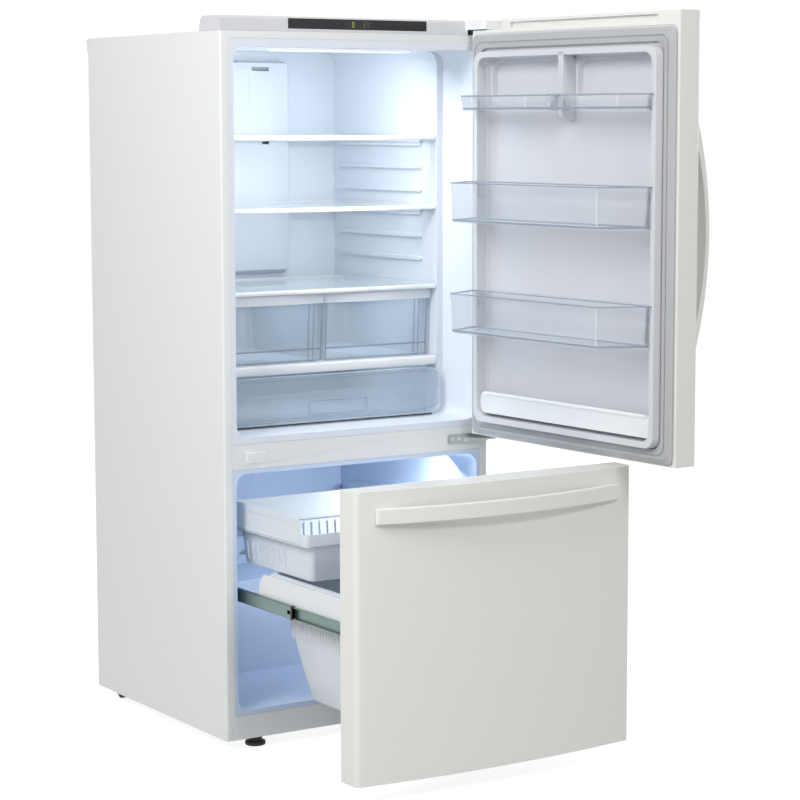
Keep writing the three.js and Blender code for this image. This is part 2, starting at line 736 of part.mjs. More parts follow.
function evaporator() {
  const half = freezerHalf - 95;
  return finBlock(-half, half, coverPlane + 3, freezerBack - gap, humpTop + gap, fanZ - 95, 15, 3);
}

function compressor() {
  const x = -machineHalf + 146;
  const profile = [
    [0, 0], [70, 0], [88, 18], [94, 66], [94, 74], [86, 120], [62, 152], [0, 163],
  ].map(([r, z]) => new THREE.Vector2(r, z));
  const pot = new THREE.LatheGeometry(profile, 14);
  pot.rotateX(Math.PI / 2);
  pot.translate(x, machineMiddle, machineFloor + 16);
  const feet = extrude('z', roundRect(x - 108, x + 108, machineMiddle - 83, machineMiddle + 83, 14),
    machineFloor + 13, machineFloor + 17);
  const bushes = [[-94, -69], [94, -69], [-94, 69], [94, 69]]
    .map(([u, v]) => post(x + u, machineMiddle + v, machineFloor + gap, machineFloor + 14, 11, 8, 12));
  const relay = extrude('x', roundRect(machineMiddle - 27, machineMiddle + 27, machineFloor + 64, machineFloor + 124, 8),
    x + 86, x + 118, 2);
  return join(solidOf(pot), feet, relay, ...bushes);
}

const condenserFanX = 110;

function condenser() {
  const plateX = condenserFanX - 12;
  const z = machineFloor + 111;
  const y = machineMiddle;
  const fins = finBlock(plateX + 46, machineHalf - 60, y - 75, y + 75, machineFloor + 8, machineFloor + 215, 10, 3);
  const shroud = cut(extrude('x', roundRect(y - 92, y + 92, machineFloor + gap, machineFloor + 217, 6), plateX, plateX + 3),
    rod('x', y, z, plateX - 2, plateX + 5, 80, 24));
  const arms = [0, 120, 240].map((degrees) => {
    const angle = degrees * Math.PI / 180;
    const at = (r, s) => new THREE.Vector2(
      y + r * Math.cos(angle) - s * Math.sin(angle), z + r * Math.sin(angle) + s * Math.cos(angle));
    return extrude('x', [at(16, -5), at(83, -5), at(83, 5), at(16, 5)], plateX, plateX + 3);
  });
  const motor = rod('x', y, z, plateX, plateX + 8, 20, 20);
  const spindle = rod('x', y, z, plateX + 6, plateX + 34, shaftRadius, 10);
  const skirt = [y - 89, y + 89].map((edge) => box(plateX, plateX + 60, edge - 1.5, edge + 1.5, machineFloor + gap, machineFloor + 40));
  const tie = [y - 89, y + 89].map((edge) => box(plateX + 44, plateX + 60, Math.min(edge, y), Math.max(edge, y),
    machineFloor + gap, machineFloor + 10));
  return join(fins, shroud, motor, spindle, ...arms, ...skirt, ...tie);
}

// ---------------------------------------------------------------- fridge interior

const shelfHalf = shelfZoneHalf - 4;
const trimHalf = shelfZoneHalf - 2;

// moulded frame with a rebate for its pane; its side rails stand on the liner's ribs at low
function shelfFrame(low, front, back, height, half) {
  const wall = 12;
  const railDepth = 8;
  const top = low + height;
  const paneLow = top - glassThickness - gap - 1;
  const ring = cut(
    extrude('z', roundRect(-half, half, front + 6, back, 6), low + railDepth, top, 1),
    extrude('z', roundRect(-half + wall, half - wall, front + 24, back - wall, 4), low - 1, top + 1, 1),
    extrude('z', roundRect(-half + 5, half - 5, front + 14, back - 5, 3), paneLow - gap, top + 1, 1));
  const rails = [-1, 1].map((side) => box(Math.min(side * half, side * (half - 7)),
    Math.max(side * half, side * (half - 7)), 206, back - 8, low, low + railDepth + 1));
  const trim = extrude('x', roundRect(front, front + 13, top - 10.5, top, 3), -trimHalf, trimHalf, 1);
  return join(ring, trim, ...rails);
}

function shelfPane(low, front, back, height, half) {
  const paneLow = low + height - glassThickness - gap - 1;
  return extrude('z', roundRect(-half + 5 + gap, half - 5 - gap, front + 14 + gap, back - 5 - gap, 3),
    paneLow, paneLow + glassThickness, 1);
}

const shelfLow = (rib) => ribBase + rib * ribPitch + ribHeight / 2 + gap;

const crisperCoverLow = crisperLedgeTop + gap;
const crisperCoverHeight = crisperCoverTop - crisperCoverLow;

// cover over the deli drawer and floor of the crispers
function deliCover() {
  const low = deliLedgeTop + gap;
  const plate = extrude('z', roundRect(-shelfHalf, shelfHalf, entryDepth + 8, crisperBack + 20, 6), low + 12, crisperFloor - gap, 1);
  const sides = [-1, 1].map((side) => box(Math.min(side * shelfHalf, side * (shelfHalf - 6)),
    Math.max(side * shelfHalf, side * (shelfHalf - 6)), 178, crisperBack + 18, low, low + 14));
  const trim = extrude('x', roundRect(entryDepth, entryDepth + 14, deliTop + 3, crisperFloor - gap, 5), -trimHalf, trimHalf, 1);
  return join(plate, trim, ...sides);
}

// drawer tub as two tapers: its outside, and the space inside its walls
function tub(x0, x1, y0, y1, z0, z1, draft, radius) {
  const w = drawerWall;
  const outside = taper('z', z0, [x0 + draft, x1 - draft, y0 + draft, y1 - draft, radius], z1, [x0, x1, y0, y1, radius]);
  const inside = taper('z', z0 + w, [x0 + draft + w, x1 - draft - w, y0 + draft + w, y1 - draft - w, radius - w],
    z1 + 1, [x0 + w, x1 - w, y0 + w, y1 - w, radius - w]);
  return [outside, inside];
}

function crisper(side) {
  const middle = 4;
  const edge = shelfZoneHalf - ledgeReach - 3;
  const [x0, x1] = side < 0 ? [-edge, -middle] : [middle, edge];
  const [f0, f1] = side < 0 ? [-trimHalf, -2] : [2, trimHalf];
  const bandLow = crisperTop - 25;
  const front = entryDepth + 29;
  const [outside, inside] = tub(x0, x1, front, crisperBack, crisperFloor, crisperLedgeTop - 4, 7, 12);
  const bow = 12;
  const span = f1 - f0;
  const radius = (span * span / 4 + bow * bow) / (2 * bow);
  const bowed = (offset) => {
    const points = [];
    for (let i = 0; i <= 10; i++) {
      const x = f0 + span * i / 10;
      const sag = Math.sqrt(radius * radius - (x - (f0 + f1) / 2) ** 2) - (radius - bow);
      points.push(new THREE.Vector2(x, front - 8 - sag + offset));
    }
    return points;
  };
  const band = extrude('z', [...bowed(0), ...bowed(4).reverse()], bandLow, crisperTop);
  const rail = box(x0 + 1, x1 - 1, front - 9, front + 14, crisperTop - 20, crisperTop - 14);
  const panel = extrude('x', [
    new THREE.Vector2(front - 6, bandLow + 8), new THREE.Vector2(front + 12, bandLow + 8),
    new THREE.Vector2(front + 18, crisperFloor + 3), new THREE.Vector2(front + 3, crisperFloor + 3),
  ], x0 + 1, x1 - 1);
  return cut(join(outside, band, rail, panel), inside);
}

function deliDrawer() {
  const half = shelfZoneHalf - 6;
  const low = fridgeFloor + 6;
  const [outside, inside] = tub(-half + 12, half - 12, deliFront + 13, crisperBack, low + 1, deliTop - 6, 6, 10);
  const front = cut(
    extrude('y', roundRect(-half - 4, half + 4, low, deliTop, 26), deliFront, deliFront + 15, 3),
    extrude('y', roundRect(-half + 5, half - 5, low + 14, deliTop - 8, 18), deliFront - 1, deliFront + 2.5, 3),
    extrude('y', roundRect(-71, 95, low + 21, low + 52, 6), deliFront - 1, deliFront + 5, 1));
  const grip = cut(
    extrude('y', roundRect(-74, 98, low + 18, low + 55, 7), deliFront + 1, deliFront + 15, 2),
    extrude('y', roundRect(-71, 95, low + 21, low + 52, 6), deliFront - 1, deliFront + 12, 1));
  const runners = [-half + 84, half - 84].map((x) => box(x - 5, x + 5, deliFront + 30, crisperBack - 14, fridgeFloor + gap, low + 2));
  return join(cut(join(outside, front, ...runners), inside), grip);
}

// ---------------------------------------------------------------- door and drawer fronts

// plan of a front: flat back, bowed face, rounded corners; inset shrinks it all round
function frontPlan(inset, backInset = inset) {
  const half = frontHalf - inset;
  const back = frontInner - backInset;
  const edge = frontInner - frontEdge + inset;
  const r = Math.max(frontCorner - inset, 2);
  const chord = half - r;
  const radius = (chord * chord + frontBow * frontBow) / (2 * frontBow);
  const centre = edge - frontBow + radius;
  const reach = Math.asin(chord / radius);
  const points = [new THREE.Vector2(-half, back), new THREE.Vector2(half, back)];
  for (let i = 0; i <= 3; i++) {
    const angle = -i / 3 * (Math.PI / 2 - reach);
    points.push(new THREE.Vector2(chord + r * Math.cos(angle), edge + r + r * Math.sin(angle)));
  }
  const start = points[points.length - 1].clone();
  for (let i = 1; i < 12; i++) {
    const angle = reach * (1 - i / 6);
    const y = centre - radius * Math.cos(angle);
    points.push(new THREE.Vector2(radius * Math.sin(angle), Math.min(y, start.y)));
  }
  for (let i = 3; i >= 0; i--) {
    const angle = -i / 3 * (Math.PI / 2 - reach);
    points.push(new THREE.Vector2(-chord - r * Math.cos(angle), edge + r + r * Math.sin(angle)));
  }
  return points;
}

// folded steel front, open at the back where the liner closes it
function frontSkin(low, high) {
  const lip = 24;
  return cut(extrude('z', frontPlan(0), low, high), extrude('z', frontPlan(skin), low + skin, high - skin),
    extrude('y', roundRect(-frontHalf + lip, frontHalf - lip, low + lip, high - lip, 8),
      frontInner - skin - 1, frontInner + 1));
}

const capLow = doorTop - 32;
const pinHole = (z0, z1) => post(hingeX, hingeY, z0, z1, pinRadius + gap, pinRadius + gap, 16);
const hingePocket = (grow) => box(frontHalf - pocketLength - grow, frontHalf + 1, -far, far, pocketFloor - grow, far);

// the door's skin is also open at the top, where the cap closes it
function doorSkin() {
  const lip = 24;
  return cut(extrude('z', frontPlan(0), doorBottom, doorTop), extrude('z', frontPlan(skin), doorBottom + skin, doorTop + 1),
    extrude('y', roundRect(-frontHalf + lip, frontHalf - lip, doorBottom + lip, doorTop + 40, 8),
      frontInner - skin - 1, frontInner + 1),
    box(-frontHalf - 1, frontHalf + 1, frontInner - 1.5 * skin, frontInner + 1, capLow, doorTop + 1),
    hingePocket(0), pinHole(doorBottom - 5, doorBottom + 5));
}

// moulded cap with a notch for the hinge and a recess between its two end blocks
function doorCap() {
  const recess = extrude('y', roundRect(-frontHalf + 75, frontHalf - 148, capLow + 7, doorTop - 7, 3), frontInner - 9, frontInner + 1, 1);
  const well = extrude('z', roundRect(-frontHalf + 38, frontHalf - 150, frontInner - 58.7, frontInner - 20.7, 12),
    capLow + 4, doorTop + 1, 2);
  return cut(extrude('z', frontPlan(skin + gap, 0), capLow, doorTop - gap), hingePocket(0), pinHole(capLow - 5, pocketFloor + 5),
    recess, well);
}

// foam of a front: the inside of its skin less the liner's back
function frontFoam(low, high, linerBack) {
  return cut(extrude('z', frontPlan(skin + gap), low, high), linerBack);
}

function doorFoam() {
  return cut(frontFoam(doorBottom + skin + gap, capLow - gap, doorLinerBack(gap)),
    pinHole(pocketFloor - 24, pocketFloor), pinHole(doorBottom, doorBottom + 24));
}

// magnetic seal: ring with sloped outer edge and a bellows groove; hole is [half, low, high]
function gasket(low, high, hole) {
  const half = frontHalf - 8;
  const face = -0.7;
  const root = frontInner + plastic + 2 * gap;
  const ring = (inset, y) => ringOf('y', y, rectPoints(-half + inset, half - inset, low + inset, high - inset, 16 - inset / 2));
  const body = loft([ring(0, root), ring(0, face - 6), ring(13, face)]);
  const inside = extrude('y', roundRect(-hole[0], hole[0], hole[1], hole[2], 29), -far, far, 2);
  const groove = cut(
    extrude('y', roundRect(-half + 17, half - 17, low + 17, high - 17, 12), face - 4, face + 1, 2),
    extrude('y', roundRect(-half + 21, half - 21, low + 21, high - 21, 10), face - 5, face + 2, 2));
  return cut(body, inside, groove);
}

const linerPlane = frontInner + gap; // back of the liners' flanges
const recessPlane = frontInner - linerRecess;
const pocketPlane = recessPlane - 14;
const recessHalf = dikeHalf - 12;
const topPocketLow = smallBinFloor + 11;
const postHalf = 9;
const linerHalf = frontHalf - 9;

// back of the door liner, for the liner itself (grow 0) and the foam
function doorLinerBack(grow) {
  const g = grow;
  const flange = extrude('y', roundRect(-linerHalf - g, linerHalf + g, doorBottom + 6 - g, capLow - gap + g, 10), linerPlane - g, linerPlane + plastic);
  const recess = taper('y', recessPlane - plastic - g,
    [-recessHalf + 4 - g, recessHalf - 4 + g, dikeBottom + 18 - g, dikeTop - 16 + g, 24],
    linerPlane + 1, [-recessHalf - g, recessHalf + g, dikeBottom + 12 - g, dikeTop - 12 + g, 28]);
  const pockets = [-1, 1].map((side) => {
    const [a, b] = side < 0 ? [-recessHalf + 8, -postHalf - 2] : [postHalf + 2, recessHalf - 8];
    return taper('y', pocketPlane - plastic - g, [a + 6 - g, b - 6 + g, topPocketLow + 6 - g, dikeTop - 26 + g, 30],
      recessPlane, [a - g, b + g, topPocketLow - g, dikeTop - 20 + g, 34]);
  });
  return join(flange, recess, ...pockets);
}

function doorLinerAir() {
  const t = plastic;
  const recess = taper('y', recessPlane, [-recessHalf + 4 + t, recessHalf - 4 - t, dikeBottom + 18 + t, dikeTop - 16 - t, 22],
    linerPlane + plastic + 1, [-recessHalf + t, recessHalf - t, dikeBottom + 12 + t, dikeTop - 12 - t, 26]);
  const pockets = [-1, 1].map((side) => {
    const [a, b] = side < 0 ? [-recessHalf + 8 + t, -postHalf - 2 - t] : [postHalf + 2 + t, recessHalf - 8 - t];
    return taper('y', pocketPlane, [a + 6, b - 6, topPocketLow + 6 + t, dikeTop - 26 - t, 28],
      recessPlane + 1, [a, b, topPocketLow + t, dikeTop - 20 - t, 32]);
  });
  return join(recess, ...pockets);
}

// lugs on the liner that the bins hang on
const lugY = 2;
const lugDepth = 14;
const lugHeight = 24;
const lugReach = 6;
const hookThickness = 3;
const binRise = 30; // how far a bin lifts to come free

function lug(x, side, top) {
  const root = x - side;
  const tip = x + side * lugReach;
  return extrude('x', [
    [lugY, top - lugHeight], [lugY + lugDepth, top - lugHeight], [lugY + lugDepth, top - 4], [lugY + lugDepth - 4, top],
    [lugY + 4, top], [lugY, top - 4],
  ].map(([y, z]) => new THREE.Vector2(y, z)), Math.min(root, tip), Math.max(root, tip));
}

const dikeInner = recessHalf - plastic; // inner face of the dike
const lugTop = (binFloor, height) => binFloor + height - 12;

function doorLiner() {
  const crest = frontInner + dikeHeight;
  const dike = cut(
    taper('y', linerPlane + 1, [-dikeHalf - 2, dikeHalf + 2, dikeBottom - 2, dikeTop + 2, 30],
      crest, [-dikeHalf, dikeHalf, dikeBottom, dikeTop, 28]),
    extrude('y', roundRect(-dikeInner, dikeInner, dikeBottom + 12 + plastic, dikeTop - 12 - plastic, 26),
      linerPlane, crest + 1, 5));
  const divider = extrude('x', [
    [recessPlane - 1, smallBinFloor - 24], [crest - 6, smallBinFloor - 16], [crest, smallBinFloor - 8],
    [crest, dikeTop - 6], [linerPlane + 1, dikeTop - 6], [linerPlane + 1, dikeTop - 17],
    [recessPlane - 1, dikeTop - 22],
  ].map(([y, z]) => new THREE.Vector2(y, z)), -postHalf, postHalf);
  const lugs = [];
  for (const side of [-1, 1]) {
    for (const floor of [upperBinFloor, lowerBinFloor]) {
      lugs.push(lug(side * dikeInner, -side, lugTop(floor, largeBinHeight)));
    }
    lugs.push(lug(side * dikeInner, -side, lugTop(smallBinFloor, smallBinHeight)));
    lugs.push(lug(side * postHalf, side, lugTop(smallBinFloor, smallBinHeight)));
  }
  return join(cut(doorLinerBack(0), doorLinerAir()), dike, divider, ...lugs);
}

// hook of a bin: a channel that drops over a lug; x is the wall it lies along
function hook(x, side, top, bottom) {
  const face = x - side * gap;
  const inner = face - side * (lugReach + gap);
  const y0 = lugY - hookThickness - gap;
  const y1 = lugY + lugDepth + hookThickness - 2.4;
  const span = (a, b) => [Math.min(a, b), Math.max(a, b)];
  return cut(
    box(...span(face, inner - side * 4), y0, y1, bottom, top + hookThickness + gap),
    box(...span(face + side, inner), lugY - gap, lugY + lugDepth + gap, bottom - 1, top + gap));
}

// open bin: a narrow back between the dikes and a wide tapered tray in front of their crests
function bin(left, right, wide, inset, reach, floor, height) {
  const back = recessPlane + gap + 1.5;
  const shelfY = frontInner + dikeHeight + 0.6;
  const wallAt = lugReach + 2 * gap;
  const tray = [[left - wide[0], shelfY], [right + wide[1], shelfY], [right + wide[1], shelfY + 14],
    [right + wide[1] - inset, reach], [left - wide[0] + inset, reach], [left - wide[0], shelfY + 14]];
  const rear = [[left + wallAt, back], [right - wallAt, back], [right - wallAt, shelfY + 30], [left + wallAt, shelfY + 30]];
  const ring = (plan, z, distance, radius) => ringOf('z', z, roundPolygon(insetPolygon(plan, distance), radius));
  const solid = (plan, r) => loft([
    ring(plan, floor, 6, r / 3), ring(plan, floor + 8, 2.5, r / 2), ring(plan, floor + height, 0, r)]);
  const space = (plan, r) => loft([
    ring(plan, floor + binWall, 8, r / 3), ring(plan, floor + 9, 5, r / 2), ring(plan, floor + height + 1, binWall, r)]);
  const top = lugTop(floor, height);
  const hooks = [hook(left, -1, top, top - lugHeight - 2), hook(right, 1, top, top - lugHeight - 2)];
  const rimPlan = (distance) => ring(tray, 0, distance, 1.8).map((p) => new THREE.Vector2(p.x, p.y));
  const rim = cut(
    extrude('z', rimPlan(-1.2), floor + height - 15, floor + height),
    box(left - 40, right + 40, -far, shelfY + 8, 0, far));
  return cut(join(solid(tray, 1.8), solid(rear, 1.8), rim, ...hooks), space(tray, 1.5), space(rear, 1.5));
}

function largeBin(floor) {
  return bin(-dikeInner, dikeInner, [6, 6], 54, largeBinReach, floor, largeBinHeight);
}

function smallBin(side) {
  const [left, right] = side < 0 ? [-dikeInner, -postHalf] : [postHalf, dikeInner];
  const wide = side < 0 ? [6, postHalf - 3] : [postHalf - 3, 6];
  return bin(left, right, wide, 38, smallBinReach, smallBinFloor, smallBinHeight);
}

function doorRetainer() {
  const half = recessHalf - plastic - gap - 1;
  const low = dikeBottom + 22;
  const high = low + 53;
  const bar = extrude('y', roundRect(-half, half, low, high, 20), 4, 7, 2);
  const shelf = box(-half + 16, half - 16, recessPlane + gap, 6, low + 6, low + 9);
  const bead = extrude('x', roundRect(3, 10, high - 9, high, 3), -half + 16, half - 16, 1);
  return join(bar, shelf, bead);
}

// arched strap: an arc of constant thickness whose ends run into the front's face
function strapOutline(low, high, root, rise) {
  const chord = (high - low) / 2;
  const middle = (high + low) / 2;
  const points = [];
  const steps = 14;
  const arc = (r) => (chord * chord + r * r) / (2 * r);
  for (let i = 0; i <= steps; i++) {
    const t = -1 + 2 * i / steps;
    const radius = arc(rise);
    const sag = Math.sqrt(radius * radius - (t * chord) ** 2) - (radius - rise);
    points.push(new THREE.Vector2(middle + t * chord, root - sag - handleThickness));
  }
  const innerChord = chord - 26;
  const innerRise = rise;
  for (let i = steps; i >= 0; i--) {
    const t = -1 + 2 * i / steps;
    const radius = (innerChord * innerChord + innerRise * innerRise) / (2 * innerRise);
    const sag = Math.sqrt(radius * radius - (t * innerChord) ** 2) - (radius - innerRise);
    points.push(new THREE.Vector2(middle + t * innerChord, root - sag));
  }
  points.push(new THREE.Vector2(middle - innerChord, root + 14), new THREE.Vector2(middle - chord, root + 14));
  points.splice(2 * (steps + 1) - steps - 1, 0, new THREE.Vector2(middle + chord, root + 14),
    new THREE.Vector2(middle + innerChord, root + 14));
  return points;
}

const handleRoot = frontInner - frontEdge - 5;

function drawerHandle() {
  const outline = strapOutline(-drawerHandleHalf, drawerHandleHalf, handleRoot, handleRise - handleThickness);
  const strap = extrude('z', outline, drawerHandleZ, drawerHandleZ + handleWidth, 4, 2);
  return cut(strap, extrude('z', frontPlan(-gap), drawerHandleZ - 9, drawerHandleZ + handleWidth + 9));
}

function doorHandle() {
  const outline = strapOutline(doorHandleLow, doorHandleHigh, handleRoot, handleRise - handleThickness)
    .map((p) => new THREE.Vector2(p.y, p.x));
  const strap = extrude('x', outline, doorHandleX - handleWidth / 2, doorHandleX + handleWidth / 2, 4, 2);
  return cut(strap, extrude('z', frontPlan(-gap), doorHandleLow - 9, doorHandleHigh + 9));
}

// ---------------------------------------------------------------- freezer drawer

const plateauHalf = freezerHalf - 19;
const plateauLow = freezerFloor + 13;
const plateauHigh = freezerCeiling - 14;
const plateauPlane = 8;

function drawerLinerBack(grow) {
  const g = grow;
  return join(
    extrude('y', roundRect(-linerHalf - g, linerHalf + g, drawerBottom + 17 - g, drawerTop - 13 + g, 10),
      linerPlane - g, linerPlane + plastic),
    taper('y', recessPlane - g, [-plateauHalf + 30 - g, plateauHalf - 30 + g, plateauLow + 30 - g, plateauHigh - 30 + g, 20],
      linerPlane + 1, [-plateauHalf + 20 - g, plateauHalf - 20 + g, plateauLow + 20 - g, plateauHigh - 20 + g, 24]));
}

function drawerLiner() {
  const plateau = taper('y', linerPlane, [-plateauHalf, plateauHalf, plateauLow, plateauHigh, 26],
    plateauPlane, [-plateauHalf + 3, plateauHalf - 3, plateauLow + 3, plateauHigh - 3, 24]);
  const dish = taper('y', recessPlane + plastic, [-plateauHalf + 52, plateauHalf - 52, plateauLow + 52, plateauHigh - 52, 20],
    plateauPlane + 1, [-plateauHalf + 46, plateauHalf - 46, plateauLow + 46, plateauHigh - 46, 24]);
  return cut(join(drawerLinerBack(0), plateau), dish);
}

// nested slide members: each is a C channel; side is the cabinet's side
function channel(side, web, mouth, height, y0, y1) {
  const t = railSheet;
  const [lowEnd, highEnd] = [railZ - height / 2, railZ + height / 2];
  const inward = Math.sign(mouth - web);
  const outline = [
    [web, lowEnd], [mouth, lowEnd], [mouth, lowEnd + t], [web + inward * t, lowEnd + t],
    [web + inward * t, highEnd - t], [mouth, highEnd - t], [mouth, highEnd], [web, highEnd],
  ].map(([x, z]) => new THREE.Vector2(side * x, z));
  return extrude('y', outline, y0, y1);
}

const midHeight = fixedRailHeight - 2 * railSheet - 2 * gap;
const innerHeight = midHeight - 2 * railSheet - 2 * gap;
const midFront = 28; // closed place
const innerFront = 12;
const carrierPlane = railHalf - 16; // web of the drawer's own slide member

function fixedRail(side) {
  const rail = channel(side, railHalf, railHalf - 11.5, fixedRailHeight, fixedFront, fixedFront + railLength);
  const brackets = [fixedFront, fixedFront + railLength - 36].map((y) => {
    const xs = [side * (railHalf - railSheet), side * (freezerWall(y + 36) - gap)];
    return box(Math.min(...xs), Math.max(...xs), y, y + 36, railZ - 26, railZ + 26);
  });
  return join(rail, ...brackets);
}

function midRail(side) {
  const rail = channel(side, railHalf - 3.5, railHalf - 13, midHeight, midFront, midFront + railLength);
  const bumper = box(Math.min(side * (railHalf - 3.5), side * (railHalf - 13)),
    Math.max(side * (railHalf - 3.5), side * (railHalf - 13)), midFront - 6, midFront + 1,
    railZ - midHeight / 2, railZ + midHeight / 2);
  const mouth = box(Math.min(side * (railHalf - 5.6), side * (railHalf - 17)),
    Math.max(side * (railHalf - 5.6), side * (railHalf - 17)), midFront - 8, midFront + 2,
    railZ - innerHeight / 2 - gap, railZ + innerHeight / 2 + gap);
  return join(rail, cut(bumper, mouth));
}

function innerRail(side) {
  return channel(side, carrierPlane, railHalf - 6, innerHeight, innerFront, innerFront + railLength - 40);
}

// white carrier: two side plates on the slides, front flanges on the drawer, tie rod behind the basket
const carrierBack = lowerBasketBack + 20;
const carrierFlange = 14;

function basketCarrier() {
  const parts = [];
  const front = plateauPlane + gap;
  const low = railZ - innerHeight / 2;
  for (const side of [-1, 1]) {
    const outer = carrierPlane - gap;
    const inner = outer - 2;
    const xs = (a, b) => [Math.min(side * a, side * b), Math.max(side * a, side * b)];
    parts.push(extrude('x', [
      [front + 1, low], [carrierBack, low], [carrierBack + 18, railZ], [carrierBack + 6, carrierTop - 20],
      [carrierBack - 10, carrierTop], [front + 1, carrierTop],
    ].map(([y, z]) => new THREE.Vector2(y, z)), ...xs(inner, outer)));
    parts.push(box(...xs(inner - carrierFlange, outer - 0.8), front + 1.5, carrierBack - 20, carrierTop - 2, carrierTop - 0.2));
    parts.push(box(...xs(inner - 26, outer - 0.5), front, front + 2.2, low + 2, carrierTop - 0.5));
  }
  parts.push(rod('x', carrierBack, railZ, -carrierPlane + 1.2, carrierPlane - 1.2, 5, 10));
  return join(...parts);
}

const basketHalf = carrierPlane - gap - 2 - carrierFlange + 11;
const basketRimTop = carrierTop + gap + 5;

// deep tub whose back leans forward over the step, with ribs round its upper part
function lowerBasket() {
  const w = drawerWall;
  const bodyHalf = carrierPlane - gap - 2 - carrierFlange - gap - 1;
  const ring = (inset, z, back, draft) => ringOf('z', z, rectPoints(
    -bodyHalf + draft + inset, bodyHalf - draft - inset, lowerBasketFront + draft / 2 + inset, back - inset, 22 - inset));
  const backAt = (z) => lowerBasketBack - 10 - (basketRimTop - z) * humpLean / (humpTop - freezerFloor);
  const knee = lowerBasketFloor + 57;
  const levels = [lowerBasketFloor, knee, basketRimTop];
  const drafts = [38, 26, 0];
  const outer = loft(levels.map((z, i) => ring(0, z, backAt(z), drafts[i])));
  const inner = loft([lowerBasketFloor + w, knee + 1, basketRimTop + 1].map((z, i) => ring(w, z, backAt(z), drafts[i])));
  const rim = cut(
    extrude('z', roundRect(-basketHalf, basketHalf, lowerBasketFront - 3, lowerBasketBack, 20), basketRimTop - 5, basketRimTop),
    extrude('z', roundRect(-bodyHalf + 1, bodyHalf - 1, lowerBasketFront + 1, lowerBasketBack - 12, 20),
      basketRimTop - 6, basketRimTop + 1));
  const ribs = [];
  const ribTotal = 12;
  for (const side of [-1, 1]) {
    for (let i = 0; i < ribTotal; i++) {
      const y = lowerBasketFront + 36 + i * (lowerBasketBack - lowerBasketFront - 120) / (ribTotal - 1);
      const lean = (z) => side * (bodyHalf - 26 * (basketRimTop - z) / (basketRimTop - knee));
      ribs.push(loft([[knee + 85, 0.4], [knee + 137, 2.6]].map(([z, proud]) => [
        [lean(z) - side * 1.5, y - 4], [lean(z) + side * proud, y - 2.5],
        [lean(z) + side * proud, y + 2.5], [lean(z) - side * 1.5, y + 4],
      ].map(([x, v]) => new THREE.Vector3(x, v, z)))));
    }
  }
  return cut(join(outer, rim, ...ribs), inner);
}

const upperBasketFloor = basketRimTop + 3.7;
const upperBasketTop = upperBasketFloor + upperBasketHeight;
const upperLedge = runnerTop + gap;
const upperHalf = freezerHalf - 29;
const upperLowerHalf = runnerReach - 3;

// basket in two steps: slotted tub below the ledge, plain band above it
function upperBasket() {
  const w = drawerWall;
  const [front, back] = [upperBasketFront, upperBasketBack];
  const tubPart = (inset, z0, z1) => taper('z', z0,
    [-upperLowerHalf + 8 + inset, upperLowerHalf - 8 - inset, front + 12 + inset, back - 8 - inset, 14 - inset],
    z1, [-upperLowerHalf + inset, upperLowerHalf - inset, front + 4 + inset, back - inset, 14 - inset]);
  const bandPart = (inset, z0, z1) => extrude('z',
    roundRect(-upperHalf + inset, upperHalf - inset, front + inset, back - inset, 14 - inset), z0, z1, 2);
  const outer = join(tubPart(0, upperBasketFloor, upperLedge + 1), bandPart(0, upperLedge, upperBasketTop));
  const inner = join(tubPart(w, upperBasketFloor + w, upperLedge + w + 1), bandPart(w, upperLedge + w, upperBasketTop + 1));
  const frontDip = extrude('y', [
    new THREE.Vector2(-upperHalf + 22, upperBasketTop + 2), new THREE.Vector2(-upperHalf + 34, upperBasketTop - 38),
    new THREE.Vector2(upperHalf - 34, upperBasketTop - 38), new THREE.Vector2(upperHalf - 22, upperBasketTop + 2),
  ], front - 4, front + 12);
  const slots = [];
  const count = 9;
  for (let i = 0; i < count; i++) {
    const y = front + 60 + i * (back - front - 88) / (count - 1);
    const x = -upperHalf + 60 + i * (2 * upperHalf - 152) / (count - 1);
    slots.push(box(-far, far, y, y + 11, upperBasketFloor + 17, upperBasketFloor + 67));
    slots.push(box(x, x + 10, back - 8, back + 4, upperLedge + 15, upperBasketTop - 18));
  }
  return cut(join(outer), inner, frontDip, ...slots);
}

// ---------------------------------------------------------------- assembly

const refrigerator = new THREE.Group();
refrigerator.name = 'bottom_freezer_refrigerator';

const add = (parent, name, solid, material) => {
  const mesh = meshOf(name, solid, material);
  parent.add(mesh);
  return mesh;
};

// cabinet body and machine compartment
add(refrigerator, 'cabinet_shell', cabinetShell(), whitePaint());
add(refrigerator, 'cabinet_foam', cabinetFoam(), foamFill());
add(refrigerator, 'rear_panel', rearPanel(), paint(0xb9bdbf, 0.5, 0.6));
add(refrigerator, 'compressor_cover', compressorCover(), paint(0xa4a8aa, 0.5, 0.6));
add(refrigerator, 'base_frame', baseFrame(), zinc());
add(refrigerator, 'fridge_liner', fridgeLiner(), whitePlastic());
add(refrigerator, 'freezer_liner', freezerLiner(), whitePlastic());
add(refrigerator, 'mullion_cover', mullionCover(), whitePaint());
add(refrigerator, 'control_housing', controlHousing(), whitePlastic());
add(refrigerator, 'display_window', displayWindow(), paint(0x0b0c0e, 0.15));
add(refrigerator, 'top_hinge_bracket', topHingeBracket(), zinc());
add(refrigerator, 'hinge_cover', hingeCover(), whitePlastic());
add(refrigerator, 'centre_hinge_bracket', centreHingeBracket(), zinc());
add(refrigerator, 'light_lens', lightLens(), paint(0xf6fbff, 0.3));
add(refrigerator, 'duct_panel', ductPanel(), whitePlastic());
add(refrigerator, 'evaporator_cover', evaporatorCover(), whitePlastic());
add(refrigerator, 'evaporator', evaporator(), paint(0xc3c8cb, 0.35, 0.9));
add(refrigerator, 'compressor', compressor(), paint(0x1d1e20, 0.45, 0.5));
add(refrigerator, 'condenser', condenser(), paint(0x2a2c2e, 0.5, 0.6));

